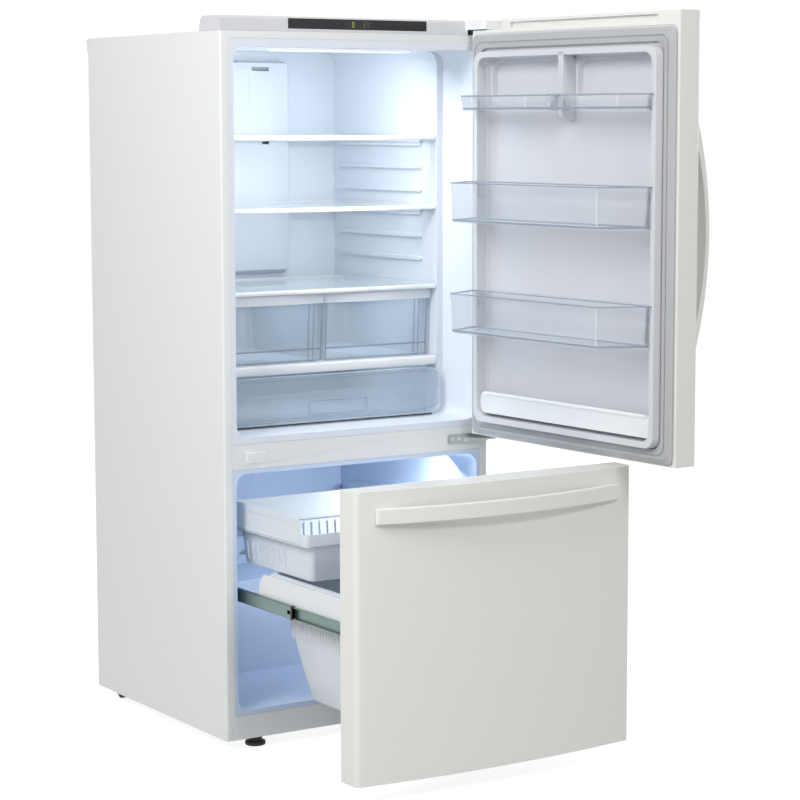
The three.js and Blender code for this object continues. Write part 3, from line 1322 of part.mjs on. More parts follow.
const evaporatorFan = add(refrigerator, 'evaporator_fan', fan(50, 15, 14, 5), whitePlastic());
evaporatorFan.rotation.x = -Math.PI / 2;
evaporatorFan.position.set(0, coverPlane + 6, fanZ);

const condenserFan = add(refrigerator, 'condenser_fan', fan(76, 22, 22, 5), blackPlastic());
condenserFan.rotation.y = Math.PI / 2;
condenserFan.position.set(condenserFanX - 12 + 10, machineMiddle, machineFloor + 111);

for (const [side, word] of [[-1, 'left'], [1, 'right']]) {
  add(refrigerator, `foot_${word}`, foot(), blackPlastic()).position.set(side * footX, footY, 0);
  const wheel = add(refrigerator, `roller_${word}`, roller(), blackPlastic());
  wheel.rotation.y = Math.PI / 2;
  wheel.position.set(side * rollerX, rollerY, rollerRadius);
}

// shelves and drawers of the fridge
for (const [word, rib] of [['upper', upperShelfRib], ['middle', middleShelfRib]]) {
  const low = shelfLow(rib);
  add(refrigerator, `shelf_${word}_frame`, shelfFrame(low, entryDepth, shelfBack, shelfHeight, shelfHalf), whitePlastic());
  add(refrigerator, `shelf_${word}_glass`, shelfPane(low, entryDepth, shelfBack, shelfHeight, shelfHalf), clearGlass());
}
add(refrigerator, 'crisper_cover_frame',
  shelfFrame(crisperCoverLow, entryDepth, crisperBack + 20, crisperCoverHeight, shelfHalf), whitePlastic());
add(refrigerator, 'crisper_cover_glass',
  shelfPane(crisperCoverLow, entryDepth, crisperBack + 20, crisperCoverHeight, shelfHalf), clearGlass());
add(refrigerator, 'crisper_left', crisper(-1), clearPlastic());
add(refrigerator, 'crisper_right', crisper(1), clearPlastic());
add(refrigerator, 'deli_cover', deliCover(), whitePlastic());
add(refrigerator, 'deli_drawer', deliDrawer(), clearPlastic());

// door, drawn closed and turned about its hinge axis
const door = new THREE.Group();
door.position.set(hingeX, hingeY, 0);
door.rotation.z = doorOpen * Math.PI / 180;
refrigerator.add(door);
const doorClosed = new THREE.Group();
doorClosed.position.set(-hingeX, -hingeY, 0);
door.add(doorClosed);

add(doorClosed, 'door_panel', doorSkin(), doorPaint());
add(doorClosed, 'door_top_cap', doorCap(), doorPaint());
add(doorClosed, 'door_foam', doorFoam(), foamFill());
add(doorClosed, 'door_liner', doorLiner(), whitePlastic());
add(doorClosed, 'door_gasket', gasket(doorBottom + 5, capLow - 4, [dikeHalf + 2.4, dikeBottom - 2.4, dikeTop + 2.4]), grayRubber());
add(doorClosed, 'door_handle', doorHandle(), doorPaint());
add(doorClosed, 'door_retainer', doorRetainer(), whitePlastic());
add(doorClosed, 'small_bin_left', smallBin(-1), clearPlastic());
add(doorClosed, 'small_bin_right', smallBin(1), clearPlastic());
add(doorClosed, 'large_bin_upper', largeBin(upperBinFloor), clearPlastic());
add(doorClosed, 'large_bin_lower', largeBin(lowerBinFloor), clearPlastic());

// freezer drawer, drawn closed and pulled out
const drawer = new THREE.Group();
drawer.position.y = -drawerOut;
refrigerator.add(drawer);

add(drawer, 'drawer_panel', frontSkin(drawerBottom, drawerTop), doorPaint());
add(drawer, 'drawer_foam',
  frontFoam(drawerBottom + skin + gap, drawerTop - skin - gap, drawerLinerBack(gap)), foamFill());
add(drawer, 'drawer_liner', drawerLiner(), whitePlastic());
add(drawer, 'drawer_gasket', gasket(drawerBottom + 16, drawerTop - 12, [plateauHalf + 9.4, plateauLow - 8, plateauHigh + 4]), grayRubber());
add(drawer, 'drawer_handle', drawerHandle(), doorPaint());
add(drawer, 'basket_carrier', basketCarrier(), whitePlastic());
add(drawer, 'lower_basket', lowerBasket(), whitePlastic());

const middleSlides = new THREE.Group();
middleSlides.position.y = -drawerOut / 2;
refrigerator.add(middleSlides);
for (const [side, word] of [[-1, 'left'], [1, 'right']]) {
  add(refrigerator, `fixed_rail_${word}`, fixedRail(side), zinc());
  add(middleSlides, `middle_rail_${word}`, midRail(side), zinc());
  add(drawer, `drawer_rail_${word}`, innerRail(side), zinc());
}

const basketSlide = new THREE.Group();
basketSlide.position.y = -drawerOut * upperBasketRatio;
refrigerator.add(basketSlide);
add(basketSlide, 'upper_basket', upperBasket(), whitePlastic());

// origin under the middle of the bounding box, on the floor
refrigerator.updateMatrixWorld(true);
const bounds = new THREE.Box3().setFromObject(refrigerator, true);
refrigerator.position.set(-(bounds.min.x + bounds.max.x) / 2, -(bounds.min.y + bounds.max.y) / 2, 0);
refrigerator.updateMatrixWorld(true);

export default refrigerator;
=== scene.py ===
import json
from math import acos, asin, cos, hypot, pi, radians, sin, sqrt, tan
from types import SimpleNamespace as Sizes
import bmesh
import bpy
from mathutils import Matrix, Vector


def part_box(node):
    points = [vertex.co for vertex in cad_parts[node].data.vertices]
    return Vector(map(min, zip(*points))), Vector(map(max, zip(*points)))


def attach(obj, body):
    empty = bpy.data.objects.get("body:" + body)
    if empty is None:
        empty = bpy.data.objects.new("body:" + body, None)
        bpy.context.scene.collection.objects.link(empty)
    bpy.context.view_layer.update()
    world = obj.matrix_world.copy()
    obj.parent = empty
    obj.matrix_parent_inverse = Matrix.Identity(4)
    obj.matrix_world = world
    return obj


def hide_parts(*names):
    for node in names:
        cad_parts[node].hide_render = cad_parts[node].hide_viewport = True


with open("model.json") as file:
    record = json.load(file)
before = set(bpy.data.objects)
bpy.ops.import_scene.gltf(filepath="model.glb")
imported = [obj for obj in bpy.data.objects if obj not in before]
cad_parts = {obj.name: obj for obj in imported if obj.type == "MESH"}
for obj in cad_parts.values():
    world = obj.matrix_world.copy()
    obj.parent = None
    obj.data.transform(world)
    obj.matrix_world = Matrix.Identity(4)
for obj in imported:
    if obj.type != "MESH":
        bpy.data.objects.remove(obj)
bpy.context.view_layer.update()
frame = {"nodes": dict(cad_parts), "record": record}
nodes = frame["nodes"]
print("frame loaded:", len(nodes), "nodes")

# cabinet coordinates in mm: x from the middle, y from the front flange, z from the floor
shiftX = (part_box("foot_left")[0].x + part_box("foot_right")[1].x) / 2
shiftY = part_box("fridge_liner")[0].y
hingeX, hingeY = 350.7, -42.2
doorAngle = radians(92.66)
bothSides = ((-1, "left"), (1, "right"))
drawerOut = 507
basketOut = 304.2

mm = Matrix.Scale(0.001, 4)
shift = Matrix.Translation((shiftX, shiftY, 0))
hinge = Vector((hingeX / 1000, hingeY / 1000, 0))
cabinetPlace = shift @ mm
doorPlace = shift @ Matrix.Translation(hinge) @ Matrix.Rotation(doorAngle, 4,
    "Z") @ Matrix.Translation(-hinge) @ mm
bins = ("large_bin_upper", "large_bin_lower", "small_bin_left", "small_bin_right")

bodyOf = {n: b for b, members in frame["record"]["behaviour"]["bodies"].items() for n in members}
slotOf = {s["node"]: s["material_slot"] for s in frame["record"]["subparts"]}
placeOf = dict.fromkeys(bodyOf.values(), cabinetPlace) | dict.fromkeys(("door", *bins), doorPlace)
placeOf["drawer"] = cabinetPlace @ Matrix.Translation((0, -drawerOut, 0))
placeOf["upper_basket"] = cabinetPlace @ Matrix.Translation((0, -basketOut, 0))


# shader expressions

class Wire:
    def __init__(self, graph, socket):
        self.graph = graph
        self.socket = socket

    def math(self, operation, other, swap=False):
        first, second = (other, self) if swap else (self, other)
        return self.graph.node("ShaderNodeMath", {"operation": operation}, {0: first, 1: second})

    def __add__(self, other): return self.math("ADD", other)
    def __radd__(self, other): return self.math("ADD", other, True)
    def __sub__(self, other): return self.math("SUBTRACT", other)
    def __mul__(self, other): return self.math("MULTIPLY", other)


class Graph:
    def __init__(self, name):
        self.material = bpy.data.materials.new(name)
        self.material.use_nodes = True
        self.tree = self.material.node_tree
        self.shader = self.tree.nodes["Principled BSDF"]
        self.output = self.tree.nodes["Material Output"]

    # any node: its settings first, then the values or links of its sockets
    def node(self, kind, settings=None, sockets=None, out=0):
        made = self.tree.nodes.new(kind)
        for key, value in (settings or {}).items():
            setattr(made, key, value)
        for key, value in (sockets or {}).items():
            self.put(made.inputs[key], value)
        return Wire(self, made.outputs[out])

    def put(self, socket, value):
        if isinstance(value, Wire):
            self.tree.links.new(value.socket, socket)
        elif isinstance(value, (tuple, list)) and len(value) == 3 and socket.type == "RGBA":
            socket.default_value = (*value, 1)
        else:
            socket.default_value = value

    def feed(self, **sockets):
        for key, value in sockets.items():
            self.put(self.shader.inputs[key.replace("_", " ")], value)
        return self.material

    def place(self):
        return self.node("ShaderNodeTexCoord", out="Object")

    def noise(self, scale, detail):
        return self.node("ShaderNodeTexNoise", {}, {
            "Vector": self.place(), "Scale": scale, "Detail": detail, "Roughness": 0.5}, "Fac")

    def cells(self, scale):
        return self.node("ShaderNodeTexVoronoi", {}, {"Vector": self.place(), "Scale": scale}, "Distance")

    def mix(self, factor, first, second):
        return self.node("ShaderNodeMix", {"data_type": "RGBA"}, {0: factor, 6: first, 7: second}, 2)

    def bump(self, height, strength, distance):
        return self.node("ShaderNodeBump", {}, {"Strength": strength, "Distance": distance, "Height": height},
            "Normal")


def painted(name, color, roughness, peel=0.05, tone=0.02):
    g = Graph(name)
    cloud = g.noise(2.2, 2.0)
    fine = g.noise(420.0, 2.0)
    dark = tuple(c * (1 - tone) for c in color)
    return g.feed(Base_Color=g.mix(cloud, dark, color), Roughness=roughness + (cloud - 0.5) * 0.08,
        Normal=g.bump(fine, peel, 0.0004), Coat_Weight=0.15, Coat_Roughness=0.2)


def plastic(name, color, roughness, grain=0.06, scale=900.0, subsurface=0.0):
    g = Graph(name)
    cloud = g.noise(3.0, 2.0)
    fine = g.noise(scale, 3.0)
    shade = tuple(c * 0.97 for c in color)
    g.feed(Base_Color=g.mix(cloud, shade, color), Roughness=roughness + (fine - 0.5) * 0.1,
        Normal=g.bump(fine, grain, 0.0003))
    if subsurface:
        g.feed(Subsurface_Weight=subsurface, Subsurface_Scale=0.004, Subsurface_Radius=(1.0, 1.0, 1.0))
    return g.material


def clear(name, color, roughness, alpha):
    g = Graph(name)
    flow = g.noise(7.0, 2.0)
    facing = g.node("ShaderNodeLayerWeight", {}, {"Blend": 0.4}, "Facing")
    edge = facing * facing * 0.6 + alpha
    return g.feed(Base_Color=color, Roughness=roughness + (flow - 0.5) * 0.05, Alpha=edge,
        Normal=g.bump(flow, 0.05, 0.002), Specular_IOR_Level=0.6)


def metal(name, color, roughness, spangle=0.0):
    g = Graph(name)
    fine = g.noise(600.0, 3.0)
    dark = tuple(c * 0.8 for c in color)
    blend = g.cells(60.0) * spangle + fine * 0.4
    return g.feed(Base_Color=g.mix(blend, color, dark), Metallic=0.9, Roughness=roughness + (fine - 0.5) * 0.2,
        Normal=g.bump(fine, 0.1, 0.0002))


def foamed(name, color):
    g = Graph(name)
    skin = g.noise(30.0, 4.0)
    return g.feed(Base_Color=g.mix(skin, tuple(c * 0.85 for c in color), color), Roughness=0.9,
        Normal=g.bump(g.cells(700.0), 0.4, 0.0006))


def glowing(name, color, strength):
    g = Graph(name)
    haze = g.noise(300.0, 2.0)
    return g.feed(Base_Color=color, Emission_Color=g.mix(haze, tuple(c * 0.9 for c in color), color),
        Emission_Strength=strength, Roughness=0.4)


# maker, linear colour, roughness and what the maker takes besides
recipes = {
    "white_paint": (painted, [(0.80, 0.81, 0.81), 0.42]),
    "door_paint": (painted, [(0.81, 0.81, 0.775), 0.36], {"peel": 0.08}),
    "white_plastic": (plastic, [(0.84, 0.86, 0.88), 0.35]),
    "liner_plastic": (plastic, [(0.77, 0.81, 0.88), 0.35]),
    "door_plastic": (plastic, [(0.66, 0.67, 0.70), 0.35]),
    "basket_plastic": (plastic, [(0.72, 0.77, 0.82), 0.32], {"subsurface": 0.25}),
    # white of the painted highlights on the door bins' front corners
    "clear_glint": (clear, [(0.93, 0.96, 1.0), 0.1, 0.5]),
    # grey of the painted shade along clear plastic edges seen edge-on
    "clear_edge": (clear, [(0.36, 0.42, 0.50), 0.12, 0.55]),
    "clear_plastic": (clear, [(0.74, 0.80, 0.88), 0.08, 0.055]),
    "tinted_plastic": (clear, [(0.70, 0.82, 0.95), 0.10, 0.20]),
    "freezer_plastic": (plastic, [(0.60, 0.71, 0.88), 0.35]),
    "clear_glass": (clear, [(0.80, 0.92, 0.94), 0.03, 0.07]),
    "display": (plastic, [(0.008, 0.009, 0.011), 0.12], {"grain": 0.0}),
    "lens": (plastic, [(0.92, 0.96, 1.0), 0.25]),
    "zinc": (metal, [(0.38, 0.44, 0.42), 0.36], {"spangle": 0.3}),
    "rail_zinc": (metal, [(0.21, 0.29, 0.27), 0.34], {"spangle": 0.3}),
    "galvanised": (metal, [(0.52, 0.54, 0.55), 0.42], {"spangle": 0.8}),
    "aluminium": (metal, [(0.70, 0.72, 0.73), 0.35]),
    "black_paint": (painted, [(0.022, 0.022, 0.024), 0.4], {"peel": 0.15}),
    "black_plastic": (plastic, [(0.02, 0.02, 0.021), 0.5], {"grain": 0.2, "scale": 500.0}),
    "gray_rubber": (plastic, [(0.44, 0.45, 0.46), 0.6], {"grain": 0.15, "scale": 700.0}),
    "foam": (foamed, [(0.78, 0.70, 0.42)]),
    "screw_steel": (metal, [(0.62, 0.62, 0.62), 0.3]),
    "litDigits": (glowing, [(0.28, 0.36, 0.03), 0.55]),
    "dimDigits": (glowing, [(0.12, 0.15, 0.05), 0.25]),
    "smokedWindow": (plastic, [(0.014, 0.016, 0.016), 0.1], {"grain": 0.0}),
}
finishes = {}
for key, (maker, values, *named) in recipes.items():
    first, *others = key.split("_")
    finishes[key] = maker(first + "".join(w.title() for w in others), *values, **(named[0] if named else {}))
lensShader = finishes["lens"].node_tree.nodes["Principled BSDF"]
lensShader.inputs["Emission Color"].default_value = (0.95, 0.98, 1.0, 1)
lensShader.inputs["Emission Strength"].default_value = 0.35
print("materials:", len(finishes))


# shapes, all in mm

axisFrame = {
    "z": Matrix(((1, 0, 0), (0, 1, 0), (0, 0, 1))),
    "x": Matrix(((0, 0, 1), (1, 0, 0), (0, 1, 0))),
    "y": Matrix(((1, 0, 0), (0, 0, 1), (0, 1, 0))),
}


def roundRect(u0, u1, v0, v1, r, steps=8):
    points = []
    for cu, cv, quarter in ((u1 - r, v0 + r, -1), (u1 - r, v1 - r, 0), (u0 + r, v1 - r, 1),
            (u0 + r, v0 + r, 2)):
        for i in range(steps + 1):
            angle = (quarter + i / steps) * pi / 2
            points.append((cu + r * cos(angle), cv + r * sin(angle)))
    return points


def ringAt(axis, at, points):
    return [axisFrame[axis] @ Vector((u, v, at)) for u, v in points]


# skin through rings of equal count; around=True joins the last ring to the first
def loft(rings, around=False):
    bm = bmesh.new()
    rows = [[bm.verts.new(p) for p in ring] for ring in rings]
    count = len(rows[0])
    for low, high in zip(rows, rows[1:] + rows[:1] if around else rows[1:]):
        for i in range(count):
            j = (i + 1) % count
            bm.faces.new((low[i], low[j], high[j], high[i]))
    if not around:
        bm.faces.new(rows[0])
        bm.faces.new(rows[-1])
    bmesh.ops.recalc_face_normals(bm, faces=bm.faces)
    return bm


def extrude(axis, points, low, high):
    return loft([ringAt(axis, low, points), ringAt(axis, high, points)])


def taper(axis, low, lowRect, high, highRect, steps=8):
    return loft([ringAt(axis, low, roundRect(*lowRect, steps)),
        ringAt(axis, high, roundRect(*highRect, steps))])


def block(x0, x1, y0, y1, z0, z1):
    return extrude("z", [(x0, y0), (x1, y0), (x1, y1), (x0, y1)], z0, z1)


def slab(axis, u0, u1, v0, v1, r, low, high, steps=8):
    return extrude(axis, roundRect(u0, u1, v0, v1, r, steps), low, high)


# a profile of (radius, place) turned about an axis
def turned(axis, u, v, profile, sides=48):
    around = [2 * pi * i / sides for i in range(sides)]
    return loft([ringAt(axis, at, [(u + r * cos(t), v + r * sin(t)) for t in around]) for r, at in profile])


def cylinder(axis, u, v, low, high, radius, sides=32):
    return turned(axis, u, v, [(radius, low), (radius, high)], sides)


# two places on one side of the middle, the lower one first
def across(side, u, v):
    return sorted((side * u, side * v))


def merge(*shapes):
    whole = bmesh.new()
    for bm in shapes:
        mesh = bpy.data.meshes.new("part")
        bm.to_mesh(mesh)
        bm.free()
        whole.from_mesh(mesh)
        bpy.data.meshes.remove(mesh)
    return whole


def linked(name, data):
    made = bpy.data.objects.new(name, data)
    bpy.context.scene.collection.objects.link(made)
    return made


def objectOf(name, bm):
    mesh = bpy.data.meshes.new(name)
    bm.to_mesh(mesh)
    bm.free()
    return linked(name, mesh)


def boolean(base, tools, operation):
    body = objectOf("body", base)
    cutters = []
    for i, tool in enumerate(tools):
        cutter = objectOf(f"tool{i}", tool)
        cutters.append(cutter)
        change = body.modifiers.new("cut", "BOOLEAN")
        change.operation = operation
        change.solver = "EXACT"
        change.object = cutter
    bpy.context.view_layer.update()
    result = body.evaluated_get(bpy.context.evaluated_depsgraph_get()).to_mesh()
    bm = bmesh.new()
    bm.from_mesh(result)
    for o in [body, *cutters]:
        mesh = o.data
        bpy.data.objects.remove(o)
        bpy.data.meshes.remove(mesh)
    return bm


def cut(base, *tools):
    return boolean(base, tools, "DIFFERENCE")


def unite(base, *tools):
    return boolean(base, tools, "UNION")


def finishPiece(made, body, finish, edge, edgeSteps, sharp, stands=()):
    bm = bmesh.new()
    bm.from_mesh(made.data)
    bmesh.ops.remove_doubles(bm, verts=bm.verts, dist=2e-5)
    bmesh.ops.dissolve_limit(bm, angle_limit=radians(0.6), verts=bm.verts, edges=bm.edges)
    bm.to_mesh(made.data)
    bm.free()
    made.data.shade_smooth()
    made.data.set_sharp_from_angle(angle=radians(sharp))
    if edge:
        bevel = made.modifiers.new("edges", "BEVEL")
        bevel.width = edge / 1000
        bevel.segments = edgeSteps
        bevel.limit_method = "ANGLE"
        bevel.angle_limit = radians(sharp)
        bevel.harden_normals = True
    made.data.materials.clear()
    made.data.materials.append(finishes[finish])
    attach(made, body)
    if stands:
        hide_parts(*stands)
    return made


# a piece from a shape in mm
def piece(name, bm, body, finish, edge, edgeSteps, sharp, stands=(), place=None):
    bm.transform(place or placeOf[body])
    return finishPiece(objectOf(name, bm), body, finish, edge, edgeSteps, sharp, stands)


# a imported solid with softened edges
def refined(node, edge, edgeSteps=2, finish=None):
    made = linked(node + "_fine", nodes[node].data.copy())
    return finishPiece(made, bodyOf[node], finish or slotOf[node], edge, edgeSteps, 35, (node,))


# door and drawer fronts

front = Sizes(half=378, inner=-13.3, edge=65, bow=22, corner=14, skin=1, lip=24)


def frontPlan(inset, backInset=None):
    steps = 40
    half = front.half - inset
    back = front.inner - (inset if backInset is None else backInset)
    edge = front.inner - front.edge + inset
    r = max(front.corner - inset, 2)
    chord = half - r
    radius = (chord * chord + front.bow ** 2) / (2 * front.bow)
    centre = edge - front.bow + radius
    reach = asin(chord / radius)
    points = [(-half, back), (half, back)]
    for i in range(9):
        angle = -i / 8 * (pi / 2 - reach)
        points.append((chord + r * cos(angle), edge + r + r * sin(angle)))
    limit = points[-1][1]
    for i in range(1, steps):
        angle = reach * (1 - 2 * i / steps)
        points.append((radius * sin(angle), min(centre - radius * cos(angle), limit)))
    for i in range(8, -1, -1):
        angle = -i / 8 * (pi / 2 - reach)
        points.append((-chord - r * cos(angle), edge + r + r * sin(angle)))
    return points


def frontSkin(low, high, openTop):
    lip, inner, skin = front.lip, front.inner, front.skin
    body = extrude("z", frontPlan(0), low, high)
    hollow = extrude("z", frontPlan(skin), low + skin, high + (1 if openTop else -skin))
    opening = slab("y", -front.half + lip, front.half - lip, low + lip, high + 40 if openTop else high - lip, 8,
        inner - skin - 1, inner + 1)
    return cut(body, hollow, opening)


door = Sizes(low=723, high=1745, capLow=1713, pocketFloor=1722, pocketLength=116, pinHole=4.3)
drawerEnds = (53, 706)


# room of the top hinge in the door
def pocket():
    return block(front.half - door.pocketLength, front.half + 1, -500, 500, door.pocketFloor, 2500)


doorSkin = cut(frontSkin(door.low, door.high, True),
    block(-379, 379, front.inner - 1.5, front.inner + 1, door.capLow, door.high + 1), pocket(),
    cylinder("z", hingeX, hingeY, door.low - 5, door.low + 5, door.pinHole))
piece("doorSkin", doorSkin, "door", "door_paint", 0.9, 3, 40, ("door_panel",))
cap = cut(extrude("z", frontPlan(1.3, 0), door.capLow, door.high - 0.3), pocket(),
    slab("y", -303, 230, door.capLow + 7, door.high - 7, 3, front.inner - 9, front.inner + 1),
    slab("z", -340, 228, -72, -34, 12, door.capLow + 4, door.high + 1),
    cylinder("z", hingeX, hingeY, door.capLow - 5, door.pocketFloor + 5, door.pinHole))
piece("doorCap", cap, "door", "door_paint", 0.7, 3, 40, ("door_top_cap",))
piece("drawerSkin", frontSkin(*drawerEnds, False), "drawer", "door_paint", 0.9, 3, 40, ("drawer_panel",))
print("fronts made")

# ends along the handle and sides across it
handle = Sizes(thickness=11, rise=42.9, inset=26, root=front.inner - front.edge - 5, foot=14,
    drawerEnds=(-331, 331), drawerSides=(633, 669), doorEnds=(967, 1518), doorSides=(-346, -310))


def strap(low, high):
    chord, middle, rise, root, steps = (high - low) / 2, (high + low) / 2, handle.rise, handle.root, 48
    innerChord = chord - handle.inset

    def arc(c, t):
        radius = (c * c + rise * rise) / (2 * rise)
        return middle + t * c, root - (sqrt(radius * radius - (t * c) ** 2) - (radius - rise))
    spread = [-1 + 2 * i / steps for i in range(steps + 1)]
    outer = [(u, v - handle.thickness) for u, v in (arc(chord, t) for t in spread)]
    inner = [arc(innerChord, -t) for t in spread]
    foot = root + handle.foot
    return [*outer, (middle + chord, foot), (middle + innerChord, foot), *inner, (middle - innerChord, foot),
        (middle - chord, foot)]


drawerStrap = cut(extrude("z", strap(*handle.drawerEnds), *handle.drawerSides),
    extrude("z", frontPlan(-0.3), 600, 700))
piece("drawerHandle", drawerStrap, "drawer", "door_paint", 3.5, 4, 40, ("drawer_handle",))
doorStrap = cut(extrude("x", [(v, u) for u, v in strap(*handle.doorEnds)], *handle.doorSides),
    extrude("z", frontPlan(-0.3), 900, 1600))
piece("doorHandle", doorStrap, "door", "door_paint", 3.5, 4, 40, ("door_handle",))
print("handles made")

# liners of the cabinet

fridge = Sizes(half=343, floor=757, ceiling=1674, entry=143, zoneHalf=320, back=640, corner=30, wall=2,
    lip=355.7, lipLow=741.3, lipHigh=1693.7)
ribs = Sizes(base=1151, pitch=58.5, count=6, height=9, depth=7, front=208, back=603, ledges=(884, 1070))


def fridgeSpace(g):
    half, low, high, corner = fridge.half + g, fridge.floor - g, fridge.ceiling + g, fridge.corner + g
    entry = taper("y", -1, (-half, half, low, high, corner), fridge.entry + g,
        (-half + 4, half - 4, low, high, corner))
    zone = fridge.zoneHalf + g
    return unite(entry, taper("y", fridge.entry - 1, (-zone, zone, low, high, corner), fridge.back + g,
        (-zone, zone, low, high + 8, corner)))


def sideRib(side, low, high, start, end, depth, corner):
    return slab("x", start, end, low, high, corner, *across(side, fridge.zoneHalf + 1, fridge.zoneHalf - depth), 6)


lip = slab("y", -fridge.lip, fridge.lip, fridge.lipLow, fridge.lipHigh, 2, 0, fridge.wall)
behind = cut(fridgeSpace(fridge.wall), block(-900, 900, -50, 0.3, 0, 2500))
sideRibs = []
for side in (-1, 1):
    for i in range(ribs.count):
        z = ribs.base + i * ribs.pitch
        sideRibs.append(sideRib(side, z - ribs.height / 2, z + ribs.height / 2, ribs.front, ribs.back,
            ribs.depth, 4.2))
    for top in ribs.ledges:
        sideRibs.append(sideRib(side, top - 10, top, 176, 590, 9, 4.5))
fridgeLiner = merge(cut(unite(lip, behind), fridgeSpace(0)), *sideRibs)
piece("fridgeLiner", fridgeLiner, "cabinet", "liner_plastic", 1.0, 3, 40, ("fridge_liner",))

freezer = Sizes(half=345, floor=99, ceiling=670, back=668, draft=8, corner=30, wall=2, humpFoot=345,
    humpTop=320, humpLean=82, runnerTop=529.7, runnerReach=303, runnerHeight=18, runnerEnds=(45, 560),
    lipLow=85.8, lipHigh=680.7)


def freezerSpace(g):
    half, low, high, corner = freezer.half + g, freezer.floor - g, freezer.ceiling + g, freezer.corner + g
    space = taper("y", -1, (-half, half, low, high, corner), freezer.back + g,
        (-half + freezer.draft, half - freezer.draft, low, high - 6, corner))
    rise = freezer.humpTop - freezer.floor
    lean = freezer.humpLean / rise
    slope = g * hypot(freezer.humpLean, rise) / rise
    foot, top = freezer.humpFoot + slope, freezer.humpTop - g
    hump = extrude("x", [(foot - lean * 60, 39), (758, 39), (758, top),
        (foot + lean * (top - freezer.floor), top)], -900, 900)
    tools = [hump]
    y0, y1 = freezer.runnerEnds
    for side in (-1, 1):
        a, b = across(side, freezer.runnerReach + g, 400)
        tools.append(block(a, b, y0 + g, y1 - g, freezer.runnerTop - freezer.runnerHeight + g, freezer.runnerTop - g))
    return cut(space, *tools)


lip = slab("y", -fridge.lip, fridge.lip, freezer.lipLow, freezer.lipHigh, 2, 0, freezer.wall)
behind = cut(freezerSpace(freezer.wall), block(-900, 900, -50, 0.3, 0, 2500))
piece("freezerLiner", cut(unite(lip, behind), freezerSpace(0)), "cabinet", "freezer_plastic", 1.6, 3, 40,
    ("freezer_liner",))
print("cabinet liners made")

# liners of the fronts

doorInside = Sizes(dikeHalf=333, dikeLow=763, dikeHigh=1668, crest=18, plane=-13.0, recess=-22.3, pocket=-36.3,
    half=321, pocketLow=1536, post=9, wall=2, flangeHalf=369, flangeLow=729, flangeHigh=1712.7)


# recess and upper pockets of the door liner, drawn in by t: 0 for their outside, the wall for their air
def doorRecesses(t):
    d = doorInside
    low, high = d.dikeLow + t, d.dikeHigh - t
    shapes = [taper("y", d.recess - d.wall + t, (-d.half + 4 + t, d.half - 4 - t, low + 18, high - 16, 24 - t),
                    d.plane + t + 1, (-d.half + t, d.half - t, low + 12, high - 12, 28 - t))]
    for side in (-1, 1):
        a, b = across(side, d.half - 8 - t, d.post + 2 + t)
        shapes.append(taper("y", d.pocket - d.wall + t, (a + 6, b - 6, d.pocketLow + 6 + t, high - 26, 30 - t),
                            d.recess + t / 2, (a, b, d.pocketLow + t, high - 20, 34 - t)))
    return shapes


def lug(x, side, top):
    height, depth, y = 24, 14, 2
    a, b = sorted((x - side, x + side * 6))
    return extrude("x", [(y, top - height), (y + depth, top - height), (y + depth, top - 4),
        (y + depth - 4, top), (y + 4, top), (y, top - 4)], a, b)


d = doorInside
linerFlange = slab("y", -d.flangeHalf, d.flangeHalf, d.flangeLow, d.flangeHigh, 10, d.plane, d.plane + d.wall)
dikeInner = d.half - d.wall
dikes = cut(taper("y", -12, (-d.dikeHalf - 2, d.dikeHalf + 2, d.dikeLow - 2, d.dikeHigh + 2, 30),
        d.crest, (-d.dikeHalf, d.dikeHalf, d.dikeLow, d.dikeHigh, 28)),
    slab("y", -dikeInner, dikeInner, d.dikeLow + 14, d.dikeHigh - 14, 26, -14, 30))
divider = extrude("x", [(-23.3, 1501), (12, 1509), (18, 1517), (18, 1662), (-12, 1662), (-12, 1651),
    (-23.3, 1646)], -9, 9)
# floors of the bins, their rims above these and the tops of their hooks below the rims
binAt = Sizes(upper=1258, lower=991, small=1525, largeRise=97, smallRise=37, hookDrop=12)
largeHang, smallHang = binAt.largeRise - binAt.hookDrop, binAt.smallRise - binAt.hookDrop
lugs = []
for side in (-1, 1):
    for top in (binAt.upper + largeHang, binAt.lower + largeHang, binAt.small + smallHang):
        lugs.append(lug(side * dikeInner, -side, top))
    lugs.append(lug(side * d.post, side, binAt.small + smallHang))
doorLiner = merge(cut(unite(linerFlange, *doorRecesses(0)), unite(*doorRecesses(d.wall))), dikes, divider, *lugs)
piece("doorLiner", doorLiner, "door", "door_plastic", 2.2, 4, 40, ("door_liner",))

drawerInside = Sizes(half=326, low=112, high=656, plane=8)


# outline of the drawer liner's plateau, drawn in by g
def drawerRect(g, corner):
    d = drawerInside
    return -d.half + g, d.half - g, d.low + g, d.high - g, corner


plateau = taper("y", -13, drawerRect(0, 26), drawerInside.plane, drawerRect(3, 24))
backing = unite(slab("y", -d.flangeHalf, d.flangeHalf, 70, 693, 10, -13, -11),
    taper("y", -22.3, drawerRect(30, 20), -12, drawerRect(20, 24)), plateau)
dish = taper("y", -20.3, drawerRect(52, 20), drawerInside.plane + 1, drawerRect(46, 24))
piece("drawerLiner", cut(backing, dish), "drawer", "door_plastic", 2.2, 4, 40, ("drawer_liner",))
print("front liners made")

# magnetic seals, swept round a rounded rectangle; the profile is (inset, y)

